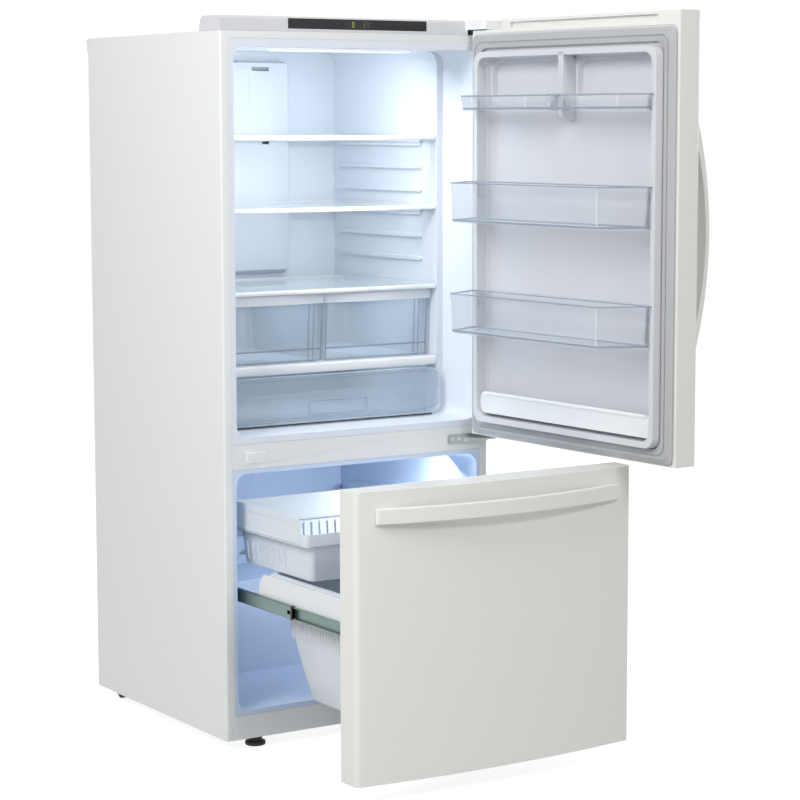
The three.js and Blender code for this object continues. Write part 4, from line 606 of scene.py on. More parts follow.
seal = Sizes(half=370, corner=16, spread=0.4, profile=[(0, -10.7), (0, -7.6), (1.1, -6.7), (4, -6.1),
    (5.2, -4.4), (8.4, -3.8), (9.6, -1.6), (12.4, -0.7), (17, -0.7), (17.6, -3.2), (20.2, -3.2), (20.9, -0.7),
    (30.6, -0.7), (32.2, -2.2), (32.4, -10.7)])
for name, low, high in (("door", 728, 1709), ("drawer", 69, 694)):
    rings = []
    for i, y in seal.profile:
        corner = seal.corner + seal.spread * i
        rings.append(ringAt("y", y, roundRect(-seal.half + i, seal.half - i, low + i, high - i, corner)))
    piece(name + "Seal", loft(rings, True), name, "gray_rubber", 0, 1, 35, (name + "_gasket",))
print("seals made")

# door bins

binShape = Sizes(wall=2.4, back=-20.5, tray=18.6, large=(54, 134, binAt.largeRise), small=(38, 90, binAt.smallRise))


def insetPolygon(points, distance):
    lines = []
    for (ax, ay), (bx, by) in zip(points, points[1:] + points[:1]):
        length = hypot(bx - ax, by - ay)
        nx, ny = -(by - ay) / length, (bx - ax) / length
        lines.append((nx, ny, nx * ax + ny * ay + distance))
    made = []
    for (a, b, c), (d, e, f) in zip(lines[-1:] + lines[:-1], lines):
        det = a * e - b * d
        made.append(((c * e - b * f) / det, (a * f - c * d) / det))
    return made


def roundPolygon(points, radius):
    made, steps = [], 6
    for i, corner in enumerate(points):
        here = Vector(corner)
        before = (Vector(points[i - 1]) - here).normalized()
        after = (Vector(points[(i + 1) % len(points)]) - here).normalized()
        half = acos(max(-1, min(1, before.dot(after)))) / 2
        reach = radius / tan(half)
        a, b = here + before * reach, here + after * reach
        for k in range(steps + 1):
            t = k / steps
            p = a * (1 - t) ** 2 + here * 2 * t * (1 - t) + b * t * t
            made.append((p.x, p.y))
    return made


def hook(x, side, top):
    bottom = top - 26
    face = x - side * 0.3
    back = face - side * 6.3
    a, b = sorted((face, back - side * 4))
    c, d = sorted((face + side, back))
    return cut(block(a, b, -1.3, 16.6, bottom, top + 3.3), block(c, d, 1.7, 16.3, bottom - 1, top + 0.3))


def doorBin(left, right, size, floorZ):
    inset, reach, height = size
    wall, back, tray = binShape.wall, binShape.back, binShape.tray
    x0, x1 = left - 6, right + 6
    plan = [(x0, tray), (x1, tray), (x1, tray + 14), (x1 - inset, reach), (x0 + inset, reach), (x0, tray + 14)]
    rear = [(left + 6.6, back), (right - 6.6, back), (right - 6.6, tray + 30), (left + 6.6, tray + 30)]

    def ring(outline, z, distance, radius):
        return ringAt("z", z, roundPolygon(insetPolygon(outline, distance), radius))

    def solid(outline):
        return loft([ring(outline, floorZ, 6, 0.6), ring(outline, floorZ + 3, 3.6, 0.8),
            ring(outline, floorZ + 8, 2.5, 0.9), ring(outline, floorZ + height, 0, 1.8)])

    def space(outline):
        return loft([ring(outline, floorZ + wall, 8, 0.5), ring(outline, floorZ + 4.5, 6, 0.6),
            ring(outline, floorZ + 9, 5, 0.75), ring(outline, floorZ + height + 1, wall, 1.5)])
    top = floorZ + height - binAt.hookDrop
    rim = cut(loft([ring(plan, floorZ + height - 15, -1.2, 1.8), ring(plan, floorZ + height, -1.2, 1.8)]),
        block(x0 - 40, x1 + 40, -500, tray + 8, 0, 2500))
    hooks = [hook(left, -1, top), hook(right, 1, top)]

    # dark strips along the rim and above the floor: painted shade of the clear walls seen edge-on
    def line(levels, inside):
        return cut(loft([ring(plan, z, distance, 1.9) for z, distance in levels]),
            loft([ring(plan, z, inside, 1.5) for z in (levels[0][0] - 1, levels[-1][0] + 1)]))
    high = floorZ + height
    lines = merge(line([(high - 2.8, -1.4), (high + 0.2, -1.4)], wall - 0.2),
        line([(floorZ + 3.6, 3.2), (floorZ + 8, 2.3)], 5.2))
    # white posts at the front corners: painted highlights, not parts of the bin
    glints = merge(*[cylinder("z", x, reach - 2.6, floorZ + 9, high - 3, 1.7, 16)
        for x in (x0 + inset + 3.4, x1 - inset - 3.4)])
    return cut(unite(solid(plan), solid(rear), rim, *hooks), space(plan), space(rear)), lines, glints


binSpecs = [(-dikeInner, dikeInner, binShape.large, binAt.upper),
    (-dikeInner, dikeInner, binShape.large, binAt.lower),
    (-dikeInner, -doorInside.post, binShape.small, binAt.small),
    (doorInside.post, dikeInner, binShape.small, binAt.small)]
for name, spec in zip(bins, binSpecs):
    # each bin: its clear body, the painted shade along its edges and the painted highlights on its corners
    clearBody, edgeShadeLines, cornerGlints = doorBin(*spec)
    piece(name + "_clear", clearBody, name, "clear_plastic", 0.6, 2, 30, (name,))
    piece(name + "_edges", edgeShadeLines, name, "clear_edge", 0.3, 1, 30)
    piece(name + "_painted_glints", cornerGlints, name, "clear_glint", 0, 1, 30)
print("door bins made")

# drawers of the fridge

crisper = Sizes(middle=4, edge=308, frame=(2, 318), floor=907, top=1066, front=172, back=560, draft=7,
    band=(1053, 1078), bow=12)


# outside and inside of a drawer's tub; the levels are (height, inset)
def tub(x0, x1, y0, y1, z0, z1, draft, radius, wall=2.5):
    def shell(levels, r):
        return loft([ringAt("z", z, roundRect(x0 + d, x1 - d, y0 + d, y1 - d, r)) for z, d in levels])
    base, inset = z0 + wall, draft + wall
    return (shell([(z0, draft + 3), (z0 + 1, draft + 1), (z0 + 4, draft), (z1, 0)], radius),
        shell([(base, inset + 3), (base + 1, inset + 1), (base + 4, inset), (z1 + 1, wall)], radius - wall))


def crisperTub(side):
    c = crisper
    x0, x1 = across(side, c.middle, c.edge)
    f0, f1 = across(side, c.frame[0], c.frame[1])
    low, top = c.band
    front = c.front
    outside, space = tub(x0, x1, front, c.back, c.floor, c.top, c.draft, 12)
    span = f1 - f0
    radius = (span * span / 4 + c.bow ** 2) / (2 * c.bow)

    def bowed(offset, steps=32):
        made = []
        for i in range(steps + 1):
            x = f0 + span * i / steps
            sag = sqrt(radius * radius - (x - (f0 + f1) / 2) ** 2) - (radius - c.bow)
            made.append((x, 164 - sag + offset))
        return made
    band = extrude("z", bowed(0) + bowed(4)[::-1], low, top)
    catch = extrude("z", bowed(4.3) + bowed(11)[::-1], top - 3, top - 0.2)
    rail = block(x0 + 1, x1 - 1, 163, front + 14, top - 20, top - 14)
    panel = extrude("x", [(166, low + 8), (front + 12, low + 8), (front + 18, c.floor + 3),
        (front + 3, c.floor + 3)], x0 + 1, x1 - 1)
    return cut(unite(outside, catch, rail, panel), space), band


for side, word in bothSides:
    name = "crisper_" + word
    tubShape, band = crisperTub(side)
    piece(name + "_clear", tubShape, name, "tinted_plastic", 0.8, 2, 40, (name,))
    x0, x1 = across(side, crisper.middle, crisper.edge)
    # dark strips up the front and across it: painted shade of the clear walls seen edge-on
    lean = [(165.1, 1052), (166.9, 1052), (175.4, 911), (173.6, 911)]
    edges = [extrude("x", lean, x, x + wide)
        for x, wide in ((x0 + 1.4, 3), (x1 - 40, 1.3), (x1 - 26, 1.3), (x1 - 4.4, 3))]
    edges += [block(x0 + 1, x1 - 1, y, y + 1.6, z, z + 3) for y, z in ((173.9, 909.3), (171.7, 938))]
    piece(name + "_edges", unite(*edges), name, "clear_edge", 0.2, 1, 40)
    piece(name + "_band", band, name, "basket_plastic", 0.9, 3, 40)

deli = Sizes(half=314, low=763, top=880, front=122, back=560, grip=(-71, 95, 784, 815))


def deliTub():
    half, low, top, front = deli.half, deli.low, deli.top, deli.front
    g0, g1, g2, g3 = deli.grip
    outside, space = tub(-half + 12, half - 12, front + 13, deli.back, low + 1, top - 6, 6, 10)
    plate = cut(slab("y", -half - 4, half + 4, low, top, 26, front, front + 15),
        slab("y", -half + 5, half - 5, low + 14, top - 8, 18, front - 1, front + 2.5),
        slab("y", g0, g1, g2, g3, 6, front - 1, front + 5))
    grip = cut(slab("y", g0 - 3, g1 + 3, g2 - 3, g3 + 3, 7, front + 1, front + 15),
        slab("y", g0, g1, g2, g3, 6, front - 1, front + 12))
    runners = [block(x - 5, x + 5, front + 30, deli.back - 14, 757.3, low + 2) for x in (-230, 230)]
    return unite(cut(unite(outside, plate, *runners), space), grip)


piece("deliDrawerClear", deliTub(), "deli_drawer", "tinted_plastic", 1.0, 3, 40, ("deli_drawer",))
# dark outlines round the grip and the rim: painted shade of the clear front's edges
rimLine = (-deli.half + 5, deli.half - 5, deli.low + 14, deli.top - 8)
lipShadeLines = []
for u0, u1, v0, v1, r, w in ((*deli.grip, 6, 1.7), (*rimLine, 18, 1.1)):
    lipShadeLines.append(cut(slab("y", u0 - w, u1 + w, v0 - w, v1 + w, r + w, deli.front - 0.5, deli.front + 1),
        slab("y", u0, u1, v0, v1, r, deli.front - 2, deli.front + 3)))
piece("deliEdgeShade", merge(*lipShadeLines), "deli_drawer", "clear_edge", 0.3, 1, 40)
# black strip under the deli front: painted shadow of the gap beneath the drawer
piece("deliShadowStrip", slab("z", -296, 296, 126, 134, 3, 759, 762.7), "deli_drawer", "black_plastic", 0.4, 2,
    40)
print("fridge drawers made")

# freezer baskets

lowBasket = Sizes(half=302.4, rim=312, front=14, back=420, floor=158, knee=215, top=445.3, lean=82 / 221,
    wall=2.5, ribs=24, ribStart=50, ribPitch=13, ribLevels=((300, 0.4), (366, 2.2)))


def lowBasketTub():
    b = lowBasket

    def section(z, inset):
        if z < b.knee:
            draft = 38 - 12 * (z - b.floor) / (b.knee - b.floor)
        else:
            draft = 26 - 26 * (z - b.knee) / (b.top - b.knee)
        back = b.back - 10 - (b.top - z) * b.lean
        corner = 22 - inset
        rect = roundRect(-b.half + draft + inset, b.half - draft - inset, b.front + draft / 2 + inset,
            back - inset, corner, 10)
        return ringAt("z", z, rect)
    outside = loft([section(z, d) for z, d in ((b.floor, 4), (b.floor + 1.2, 1.2), (b.floor + 4, 0),
        (b.knee, 0), (b.top, 0))])
    w = b.wall
    space = loft([section(z, w + d) for z, d in ((b.floor + w, 4), (b.floor + w + 1.2, 1.2),
        (b.floor + w + 4, 0), (b.knee + 1, 0))] + [[Vector((p.x, p.y, b.top + 1)) for p in section(b.top, w)]])
    rim = cut(slab("z", -b.rim, b.rim, b.front - 3, b.back, 20, b.top - 5, b.top),
        slab("z", -b.half + 1, b.half - 1, b.front + 1, b.back - 12, 20, b.top - 6, b.top + 1))
    ribs = []
    for side in (-1, 1):
        for i in range(b.ribs):
            y = b.ribStart + i * b.ribPitch
            rings = []
            for z, proud in b.ribLevels:
                x = side * (b.half - 26 * (b.top - z) / (b.top - b.knee))
                rings.append([Vector((x - side * 1.2, y - 3.4, z)), Vector((x + side * proud, y - 1.8, z)),
                    Vector((x + side * proud, y + 1.8, z)), Vector((x - side * 1.2, y + 3.4, z))])
            ribs.append(loft(rings))
    return merge(cut(unite(outside, rim), space), *ribs)


piece("lowerBasketFine", lowBasketTub(), "drawer", "basket_plastic", 0.9, 2, 40, ("lower_basket",))

highBasket = Sizes(front=36, back=372, floor=449, top=598, ledge=532, half=316, lowHalf=300, lip=561, wall=2.5)


def slotHole(axis, u, v0, v1, width, low, high):
    return slab(axis, u, u + width, v0, v1, width / 2 - 0.1, low, high, 5)


def highBasketTub():
    b = highBasket
    front, back, w = b.front, b.back, b.wall

    def low(inset, z0, z1):
        return taper("z", z0, (-b.lowHalf + 8 + inset, b.lowHalf - 8 - inset, front + 12 + inset,
            back - 8 - inset, 14 - inset), z1, (-b.lowHalf + inset, b.lowHalf - inset, front + 4 + inset,
            back - inset, 14 - inset))

    def band(inset, z0, z1):
        return slab("z", -b.half + inset, b.half - inset, front + inset, back - inset, 14 - inset, z0, z1)
    outside = unite(low(0, b.floor, b.ledge + 1), band(0, b.ledge, b.top))
    space = unite(low(w, b.floor + w, b.ledge + w + 1), band(w, b.ledge + w, b.top + 1))
    lip, rise = b.lip, 17
    quarter = [radians(9 * i) for i in range(11)]
    curve = [(front + 9 + rise * sin(t), lip + rise - rise * cos(t)) for t in quarter]
    fall = [(front + 9 + rise + 20 - 20 * cos(t), b.top - 20 + 20.2 * sin(t)) for t in quarter]
    dip = extrude("x", [(front - 6, b.top + 3), (front - 6, lip)] + curve + fall + [(front + 46, b.top + 3)],
        -400, 400)
    slots = [slotHole("x", 159 + i * 25.5, 461, 505, 6.6, -400, 400) for i in range(8)]
    slots += [slotHole("y", -240.6 + i * 22.6, 478, 526, 6.2, back - 16, back + 4) for i in range(22)]
    panels = []
    for side in (-1, 1):
        a, c = across(side, b.half - 1.1, b.half + 3)
        panels.append(slab("x", front + 44, back - 14, b.ledge + 8, b.top - 16, 8, a, c))
    bodyShape = cut(outside, space, dip, *slots, *panels)
    # grey marks along the ledge: painted shade of a row of small notches
    notchShades = []
    for side in (-1, 1):
        for i in range(38):
            y = front + 14 + i * 8.6
            a, c = across(side, b.half - 0.5, b.half + 0.25)
            notchShades.append(block(a, c, y, y + 4.6, b.ledge + 2.2, b.ledge + 4.6))
    return bodyShape, merge(*notchShades)


shape, notchShades = highBasketTub()
piece("upperBasketFine", shape, "upper_basket", "basket_plastic", 0.9, 3, 40, ("upper_basket",))
piece("upperBasketNotchShade", notchShades, "upper_basket", "gray_rubber", 0, 1, 40)
print("baskets made")

# feet, rollers, compressor and fans

footShape = Sizes(x=278, y=40, grooves=16, profile=[(22.6, 0), (24.4, 1), (25, 2.6), (25, 8.2), (24.2, 9.4),
    (17.8, 12.4), (17, 13.6), (17, 29.2), (5, 29.2), (5, 31.2)])
rollerShape = Sizes(x=335, y=640, profile=[(4, -13), (4, -9), (10, -9), (10.6, -7.6), (17, -7.6), (17.6, -9),
    (19, -9), (20, -8), (20, 8), (19, 9), (17.6, 9), (17, 7.6), (10.6, 7.6), (10, 9), (4, 9), (4, 13)])
for side, word in bothSides:
    x, y = side * footShape.x, footShape.y
    grooves = []
    for i in range(footShape.grooves):
        t = 2 * pi * i / footShape.grooves
        grooves.append(cylinder("z", x + 26.4 * cos(t), y + 26.4 * sin(t), 1.6, 20, 2.2, 12))
    piece("foot_" + word + "_fine", cut(turned("z", x, y, footShape.profile, 64), *grooves), "foot_" + word,
        "black_plastic", 0.3, 1, 40, ("foot_" + word,))
    wheel = turned("x", rollerShape.y, 20, [(r, side * rollerShape.x + at) for r, at in rollerShape.profile],
        64)
    piece("roller_" + word + "_fine", wheel, "roller_" + word, "black_plastic", 0.25, 1, 40,
        ("roller_" + word,))

pot = Sizes(x=-210, y=575, base=47, profile=[(66, 0), (76, 2.5), (83, 8), (87.5, 18), (91, 44), (92.3, 65.6),
    (94, 66), (94, 74), (91.5, 74.6), (89, 98), (85, 121), (76, 139), (60, 152.4), (38, 160), (14, 162.8),
    (1, 163)])
feetPlate = slab("z", pot.x - 108, pot.x + 108, 492, 658, 14, 44, 48)
relay = slab("x", 548, 602, 95, 155, 8, -128, -92)
piece("compressorPot", merge(turned("z", pot.x, pot.y, [(r, pot.base + at) for r, at in pot.profile], 80),
    feetPlate), "cabinet", "black_paint", 0.8, 2, 40, ("compressor",))
piece("compressorRelay", relay, "cabinet", "black_plastic", 1.5, 3, 40)
bushes = [turned("z", pot.x + u, pot.y + v, [(11, 31.3), (11, 36), (9.4, 37.4), (9.4, 40), (10.4, 41.4),
    (8, 45)]) for u in (-94, 94) for v in (-69, 69)]
piece("compressorBushes", merge(*bushes), "cabinet", "gray_rubber", 0.4, 2, 40)


# axial fan about z with its bore open
def fanShape(tip, hub, depth):
    blades, bore, sections = 5, 2.8, 7
    body = turned("z", 0, 0, [(hub, 0), (hub, depth - 2), (hub - 2, depth)], 48)
    made = []
    for i in range(blades):
        rings = []
        for k in range(sections):
            along = k / (sections - 1)
            radius = hub - 2 + (tip - hub + 2) * along
            pitch = radians(50 - 24 * along)
            chord = (0.55 + 0.36 * along) * hub
            rise = min(sin(pitch) * chord, depth / 2 - 1.6)
            ring = []
            for t, thick in ((-1, 0.3), (-0.5, 1.0), (0, 1.1), (0.5, 0.9), (1, 0.3)):
                ring.append((t, 1.6 * (1 - t * t) + thick))
            for t, thick in ((1, 0.3), (0.5, 0.9), (0, 1.1), (-0.5, 1.0), (-1, 0.3)):
                ring.append((t, 1.6 * (1 - t * t) - thick))
            points = []
            for t, lift in ring:
                turn = 2 * pi * i / blades + t * cos(pitch) * chord / radius + 0.12 * along
                z = depth / 2 - 0.8 + t * (rise - 0.8) + lift
                points.append(Vector((radius * cos(turn), radius * sin(turn), z)))
            rings.append(points)
        made.append(loft(rings))
    return cut(unite(body, *made), cylinder("z", 0, 0, -1, depth + 1, bore, 24))


def fanPlace(at, angle, axis):
    return cabinetPlace @ Matrix.Translation(at) @ Matrix.Rotation(angle, 4, axis)


piece("evaporatorFanFine", fanShape(50, 15, 14), "evaporator_fan", "white_plastic", 0, 1, 40, ("evaporator_fan",),
    fanPlace((0, 643, 575), -pi / 2, "X"))
piece("condenserFanFine", fanShape(76, 22, 22), "condenser_fan", "black_plastic", 0, 1, 40, ("condenser_fan",),
    fanPlace((108, 575, 142), pi / 2, "Y"))
print("feet, rollers, compressor and fans made")

# hinges

def hexScrew(x, y, seat, head):
    rise, radius = head - seat, 6
    return merge(cylinder("z", x, y, seat, seat + rise * 0.2, radius + 2.2),
        turned("z", x, y, [(radius, seat), (radius, seat + rise * 0.8), (radius - 1.2, head)], 6))


topArm = unite(extrude("x", [(96, 1711.3), (96, 1715.3), (27.5, 1715.3), (24.5, 1716.6), (13.5, 1729.2),
    (10.5, 1730.5), (hingeY - 6, 1730.5), (hingeY - 6, 1726.5), (9.5, 1726.5), (23, 1711.3)], hingeX - 16,
    hingeX + 16), cylinder("z", hingeX, hingeY - 6, 1726.5, 1730.5, 16, 64),
    turned("z", hingeX, hingeY, [(7.4, 1722.3), (8, 1723), (8, 1727.5)], 40),
    turned("z", hingeX, hingeY, [(3, 1702), (4, 1703.2), (4, 1727.5)], 40))
piece("topHingeArm", topArm, "cabinet", "zinc", 0.5, 2, 35, ("top_hinge_bracket",))
piece("topHingeScrews", merge(*[hexScrew(hingeX, y, 1715.1, 1719.3) for y in (45, 80)]), "cabinet",
    "screw_steel", 0.3, 2, 35)

centrePlate = slab("y", 258, 377, 699, 721.5, 3, -3.3, -0.3)
centreArm = extrude("z", [(322, -0.3), (377, -0.3), (377, hingeY), (374, hingeY - 6), (368, hingeY - 12),
    (hingeX + 10, hingeY - 16), (hingeX - 10, hingeY - 16), (hingeX - 17, hingeY - 10), (hingeX - 20, hingeY)],
    711, 715)
centreBracket = unite(cut(centrePlate, *[slab("y", u, u + 7, 701.5, 706, 2.2, -3, -4) for u in (279, 299)]),
    centreArm, turned("z", hingeX, hingeY, [(8, 712), (8, 722), (7.4, 722.7)], 40),
    turned("z", hingeX, hingeY, [(4, 712), (4, 741.8), (3, 743)], 40))
piece("centreHingeBracket", centreBracket, "cabinet", "zinc", 0.5, 2, 35, ("centre_hinge_bracket",))
centreScrews = []
for x in (270, 290, 310):
    centreScrews.append(turned("y", x, 711 if x < 300 else 706.4,
        [(5.2, -3.2), (5.2, -3.7), (4.1, -3.8), (4.1, -5), (3.2, -5.5)], 32))
piece("centreHingeScrews", merge(*centreScrews), "cabinet", "screw_steel", 0.2, 2, 35)
print("hinges made")

# telescopic slides

slides = Sizes(z=376, sheet=1.7, length=520, half=335.5, fixed=(44, 35.4), middle=(28 - 253.5, 31.4),
    inner=(12 - drawerOut, 27.4))


# rolled C channel on one side of the cabinet, its lips turned towards the mouth
def rolledChannel(side, web, mouth, height, y0, y1):
    t, r = slides.sheet, 2.6
    inward = 1 if mouth > web else -1
    half = height / 2
    steps = 6
    outer, inner = [(mouth, -half)], []
    for i in range(steps + 1):
        a = pi / 2 * i / steps
        outer.append((web + inward * (r - r * sin(a)), -half + r - r * cos(a)))
    outer += [(x, -z) for x, z in reversed(outer)]
    for i in range(steps + 1):
        a = pi / 2 * i / steps
        inner.append((web + inward * (t + (r - t) * (1 - sin(a))), -half + t + (r - t) * (1 - cos(a))))
    inner = [(mouth, -half + t)] + inner
    inner += [(x, -z) for x, z in reversed(inner)]
    outline = outer + inner[::-1]
    return extrude("y", [(side * x, slides.z + z) for x, z in outline], y0, y1)


for side, word in bothSides:
    half, length = slides.half, slides.length
    y, height = slides.fixed
    wallAt = [freezer.half - freezer.draft * (at + 36) / freezer.back - 0.6 for at in (y, y + length - 36)]
    brackets = []
    for at, wall in zip((y, y + length - 36), wallAt):
        a, b = across(side, half - 1.7, wall)
        brackets.append(slab("x", at, at + 36, slides.z - 26, slides.z + 26, 4, a, b))
    fixed = unite(rolledChannel(side, half, half - 11.5, height, y, y + length), *brackets)
    piece("fixedRail_" + word, fixed, bodyOf["fixed_rail_" + word], "rail_zinc", 0.3, 1, 35,
        ("fixed_rail_" + word,))
    y, height = slides.middle
    middle = rolledChannel(side, half - 3.5, half - 13, height, y, y + length)
    piece("middleRail_" + word, middle, bodyOf["middle_rail_" + word], "rail_zinc", 0.3, 1, 35,
        ("middle_rail_" + word,))
    a, b = across(side, half - 3.5, half - 13)
    c, d = across(side, half - 5.6, half - 17)
    clip = cut(block(a, b, y - 6, y - 0.2, slides.z - height / 2, slides.z + height / 2),
        block(c, d, y - 9, y + 2, slides.z - 14, slides.z + 14))
    stops = [block(a, a + 2.4, y + 0.2, y + 15, slides.z - 5, slides.z + 5)] if side < 0 else []
    piece("middleRailClip_" + word, merge(clip, *stops), bodyOf["middle_rail_" + word], "black_plastic", 0.6, 2,
        35)
    y, height = slides.inner
    thin = rolledChannel(side, half - 16, half - 6, height, y, y + length - 40)
    piece("drawerRail_" + word, thin, bodyOf["drawer_rail_" + word], "rail_zinc", 0.3, 1, 35,
        ("drawer_rail_" + word,), place=cabinetPlace)
print("slides made")

# air duct of the fridge

duct = Sizes(half=168, low=1098, high=1658, front=614, back=639.7, cover=(-45, 45, 1528, 1645))


def ductPanel():
    d = duct
    body = loft([ringAt("y", d.front, roundRect(-d.half + 7, d.half - 7, d.low + 12, d.high - 5, 12)),
        ringAt("y", d.front + 3, roundRect(-d.half + 4, d.half - 4, d.low + 8, d.high - 3, 13)),
        ringAt("y", d.back, roundRect(-d.half, d.half, d.low, d.high, 15))])
    hollow = taper("y", d.front + 3, (-d.half + 12, d.half - 12, d.low + 18, d.high - 12, 10), d.back + 1,
        (-d.half + 6, d.half - 6, d.low + 8, d.high - 8, 13))
    x0, x1, z0, z1 = d.cover
    groove = cut(slab("y", x0, x1, z0, z1, 24, d.front - 1, d.front + 1.2),
        slab("y", x0 + 1.6, x1 - 1.6, z0 + 1.6, z1 - 1.6, 22.4, d.front - 2, d.front + 2))
    tools = [groove, slab("y", -4, 4, 1571, 1575, 1.9, d.front - 1, d.front + 1)]
    for side in (-1, 1):
        a, b = across(side, 52, 104)
        for i in range(3):
            tools.append(slab("y", a, b, 1632.5 + i * 3.4, 1634.9 + i * 3.4, 1.1, d.front - 1, d.front + 5, 3))
        a, b = across(side, 82, 104)
        for z in (1441, 1262):
            tools.append(slab("y", a, b, z, z + 7, 3, d.front - 1, d.front + 5))
    return cut(body, hollow, *tools)


piece("ductPanelFine", ductPanel(), "cabinet", "liner_plastic", 0.8, 3, 35, ("duct_panel",))
print("air duct made")

# evaporator cover of the freezer: arms and hub carry the fan, a cap stands off its opening

coverShape = Sizes(half=336.5, low=320.3, high=661, face=637, thickness=2.5, corner=34, fanZ=575, opening=54,
    hub=17, shaft=2.5, cap=62, gap=6, vents=8)


def evaporatorCover():
    c = coverShape
    plate = slab("y", -c.half, c.half, c.low, c.high, c.corner, c.face, c.face + c.thickness)
    first, pitch = -c.half + 46.5, (2 * c.half - 141) / (c.vents - 1)
    vents = [slab("y", first + i * pitch, first + i * pitch + 48, c.low + 25 + k * 4.4, c.low + 28 + k * 4.4,
        1.4, c.face - 1, c.face + 4, 4) for i in range(c.vents) for k in range(3)]
    cap = [turned("y", 0, c.fanZ, [(c.cap - 6, c.face - c.gap - 4), (c.cap - 1.6, c.face - c.gap - 3),
        (c.cap, c.face - c.gap - 1), (c.cap, c.face - c.gap)], 72)]
    reach = c.cap - 4
    for t in map(radians, (45, 135, 225, 315)):
        cap.append(cylinder("y", reach * cos(t), c.fanZ + reach * sin(t), c.face - c.gap - 1, c.face + 1, 2.6, 16))
    back = c.face + c.thickness
    mount = [turned("y", 0, c.fanZ, [(c.hub, c.face), (c.hub, back + 2), (c.hub - 1, back + 3)], 48),
        cylinder("y", 0, c.fanZ, back, back + 19, c.shaft, 20)]
    arm = [(c.hub - 4, -4), (c.opening + 3, -4), (c.opening + 3, 4), (c.hub - 4, 4)]
    for t in map(radians, (90, 210, 330)):
        outline = [(r * cos(t) - w * sin(t), c.fanZ + r * sin(t) + w * cos(t)) for r, w in arm]
        mount.append(extrude("y", outline, c.face, back))
    hole = turned("y", 0, c.fanZ, [(c.opening, c.face - 3), (c.opening, c.face + 5)], 64)
    return unite(cut(plate, hole, *vents), *cap, *mount)


piece("evaporatorCoverFine", evaporatorCover(), "cabinet", "freezer_plastic", 0.5, 2, 35, ("evaporator_cover",))
print("evaporator cover made")

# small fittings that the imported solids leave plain

u, v = -364.7, 54.5
screw = cut(turned("y", u, v, [(4.2, -0.1), (4.2, -0.9), (3.2, -1.7), (1.2, -2.1)], 32),
    block(u - 2.6, u + 2.6, -3, -1.3, v - 0.45, v + 0.45),
    block(u - 0.45, u + 0.45, -3, -1.3, v - 2.6, v + 2.6))
piece("flangeScrew", screw, "cabinet", "screw_steel", 0, 1, 35)
piece("flangeBump", turned("y", -355.6, 85.5, [(3.4, 0.4), (3.4, -0.15), (2.6, -0.45), (1.0, -0.6)], 32),
    "cabinet", "white_plastic", 0, 1, 35)


# digits of seven strokes standing on a face that looks along -y
def digit(shape, x, z, height, y):
    w, t, gap = height * 0.5, height * 0.11, 0.15
    strokes = {"a": (t, w - t, height - t, height), "b": (w - t, w, height / 2, height),
        "c": (w - t, w, 0, height / 2), "d": (t, w - t, 0, t), "e": (0, t, 0, height / 2),
        "f": (0, t, height / 2, height), "g": (t, w - t, height / 2 - t / 2, height / 2 + t / 2)}
    made = []
    for k in shape:
        x0, x1, z0, z1 = strokes[k]
        made.append(block(x + x0 + gap, x + x1 - gap, y - 0.12, y + 0.05, z + z0 + gap, z + z1 - gap))
    return made


glyphs = {"0": "abcdef", "3": "abcdg", "7": "abc"}
readout = Sizes(face=-0.3, low=1723.5, height=13, pitch=13 * 0.68)
for key, finishName, text, x in (("cold", "litDigits", "0", -18), ("cool", "dimDigits", "37", 12)):
    strokes = []
    for i, mark in enumerate(text):
        strokes += digit(glyphs[mark], x + i * readout.pitch, readout.low, readout.height, readout.face)
    piece("readout_" + key, merge(*strokes), "cabinet", finishName, 0, 1, 35)
window = slab("y", -40, 38, 1720.6, 1739.4, 1.5, readout.face - 0.06, readout.face + 0.05)
piece("readoutWindow", window, "cabinet", "smokedWindow", 0, 1, 35)
print("fittings made")

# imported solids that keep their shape: width and steps of their softened edges, and a finish
softened = [
    ("cabinet_shell", 0.35), ("rear_panel", 0.5), ("compressor_cover", 0.3), ("base_frame", 0.4),
    ("mullion_cover", 0.6), ("control_housing", 1.5, 4, "door_plastic"), ("display_window", 0.5),
    ("hinge_cover", 1.2, 3), ("light_lens", 1.5, 3), ("evaporator", 0), ("condenser", 0),
    ("shelf_upper_frame", 0.8), ("shelf_middle_frame", 0.8),
    ("crisper_cover_frame", 0.8), ("shelf_upper_glass", 0.6), ("shelf_middle_glass", 0.6), ("crisper_cover_glass", 0.6),
    ("deli_cover", 0.8), ("door_retainer", 0.8), ("basket_carrier", 0.5),
]
for how in softened:
    refined(*how)
for name in ("cabinet_foam", "door_foam", "drawer_foam"):
    nodes[name].data.materials.clear()
    nodes[name].data.materials.append(finishes["foam"])
print("packed solids softened:", len(softened))

# floor, light, camera

stage = Sizes(floorSize=30.0, floorColor=(0.5, 0.5, 0.5), worldStrength=0.42, floorGlow=0.82,
    insideColor=(0.93, 0.97, 1.0))
# watts, size, place and aim in metres; the lamps inside the cabinet have a depth too
lamps = {
    "key": (118.0, 1.8, (-3.4, -1.3, 3.4), (-0.2, 0.0, 1.0)),
    "front": (68.0, 0.9, (-0.3, -4.6, 3.6), (0, -0.3, 0.8)),
    "reach": (0.9, 0.3, (-0.06, 0.045, 1.42), (-0.14, 0.6, 1.36), 0.4),
    "fridge": (2.1, 0.4, (-0.08, 0.16, 1.655), (-0.12, 0.42, 0.9), 0.06),
    "crispers": (0.5, 0.5, (0.0, 0.38, 1.072), (0.0, 0.38, 0.8), 0.26),
    "deli": (0.35, 0.5, (0.0, 0.36, 0.888), (0.0, 0.36, 0.7), 0.3),
    "fill": (34.0, 2.4, (4.2, -0.2, 2.4), (0.2, 0.0, 0.9)),
    "freezer": (1.8, 0.3, (0.14, 0.09, 0.65), (0.06, 0.26, 0.3), 0.05),
}


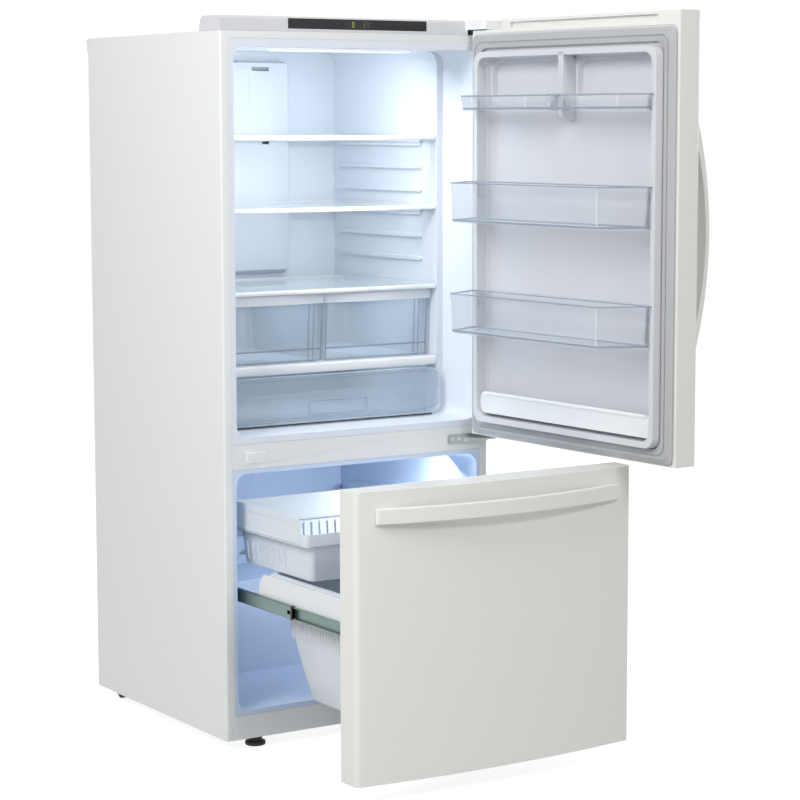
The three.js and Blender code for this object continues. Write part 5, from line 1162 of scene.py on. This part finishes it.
def seenDirectly(g):
    path = g.node("ShaderNodeLightPath", out="Is Camera Ray")
    glossy = Wire(g, path.socket.node.outputs["Is Glossy Ray"])
    through = Wire(g, path.socket.node.outputs["Is Transmission Ray"])
    return path.math("MAXIMUM", glossy.math("MAXIMUM", through))


world = bpy.data.worlds.new("studio")
bpy.context.scene.world = world
world.use_nodes = True
sky = Graph.__new__(Graph)
sky.tree = world.node_tree
soft = sky.node("ShaderNodeBackground", {}, {"Color": (1, 1, 1, 1), "Strength": stage.worldStrength})
plain = sky.node("ShaderNodeBackground", {}, {"Color": (1, 1, 1, 1), "Strength": 1.0})
chosen = sky.node("ShaderNodeMixShader", {}, {0: seenDirectly(sky), 1: soft, 2: plain})
sky.tree.links.new(chosen.socket, sky.tree.nodes["World Output"].inputs["Surface"])

floorBm = bmesh.new()
bmesh.ops.create_grid(floorBm, x_segments=1, y_segments=1, size=stage.floorSize / 2)
floor = objectOf("floor", floorBm)
floorGraph = Graph("floorWhite")
floorGraph.feed(Base_Color=stage.floorColor, Roughness=0.9, Specular_IOR_Level=0.1)
glow = floorGraph.node("ShaderNodeEmission", {}, {"Color": (1, 1, 1, 1), "Strength": stage.floorGlow})
both = floorGraph.node("ShaderNodeAddShader", {}, {0: Wire(floorGraph, floorGraph.shader.outputs[0]), 1: glow})
shown = floorGraph.node("ShaderNodeMixShader", {}, {
    0: seenDirectly(floorGraph), 1: Wire(floorGraph, floorGraph.shader.outputs[0]), 2: both})
floorGraph.tree.links.new(shown.socket, floorGraph.output.inputs["Surface"])
floor.data.materials.append(floorGraph.material)


def areaLight(name, power, size, spot, aim, depth=None):
    lamp = bpy.data.lights.new(name, "AREA")
    lamp.energy = power
    lamp.size = size
    if depth:
        lamp.shape = "RECTANGLE"
        lamp.size_y = depth
        lamp.color = stage.insideColor
    made = linked(name, lamp)
    made.visible_camera = False
    made.location = spot
    made.rotation_mode = "QUATERNION"
    made.rotation_quaternion = (Vector(aim) - Vector(spot)).to_track_quat("-Z", "Y")


for name, how in lamps.items():
    areaLight(name, *how)

# camera in cabinet coordinates: yaw, pitch and roll in degrees, focal length in pixels of the photo's width
view = Sizes(position=(-3060.06, -4901.40, 1504.37), angles=(32.945, -6.694, -0.096), focal=2387.64, width=800,
    sensor=36)
yaw, pitch, roll = map(radians, view.angles)
ahead = Vector((sin(yaw) * cos(pitch), cos(yaw) * cos(pitch), sin(pitch)))
right = Vector((cos(yaw), -sin(yaw), 0))
up = right.cross(ahead)
right, up = right * cos(roll) + up * sin(roll), up * cos(roll) - right * sin(roll)
lens = bpy.data.cameras.new("camera")
lens.sensor_width = view.sensor
lens.lens = view.focal / view.width * view.sensor
lens.clip_end = 100
camera = linked("camera", lens)
turnTo = Matrix((right, up, -ahead)).transposed().to_4x4()
camera.matrix_world = Matrix.Translation(cabinetPlace @ Vector(view.position)) @ turnTo
bpy.context.scene.camera = camera
bpy.context.scene.view_settings.view_transform = "Standard"
print("stage and camera ready")
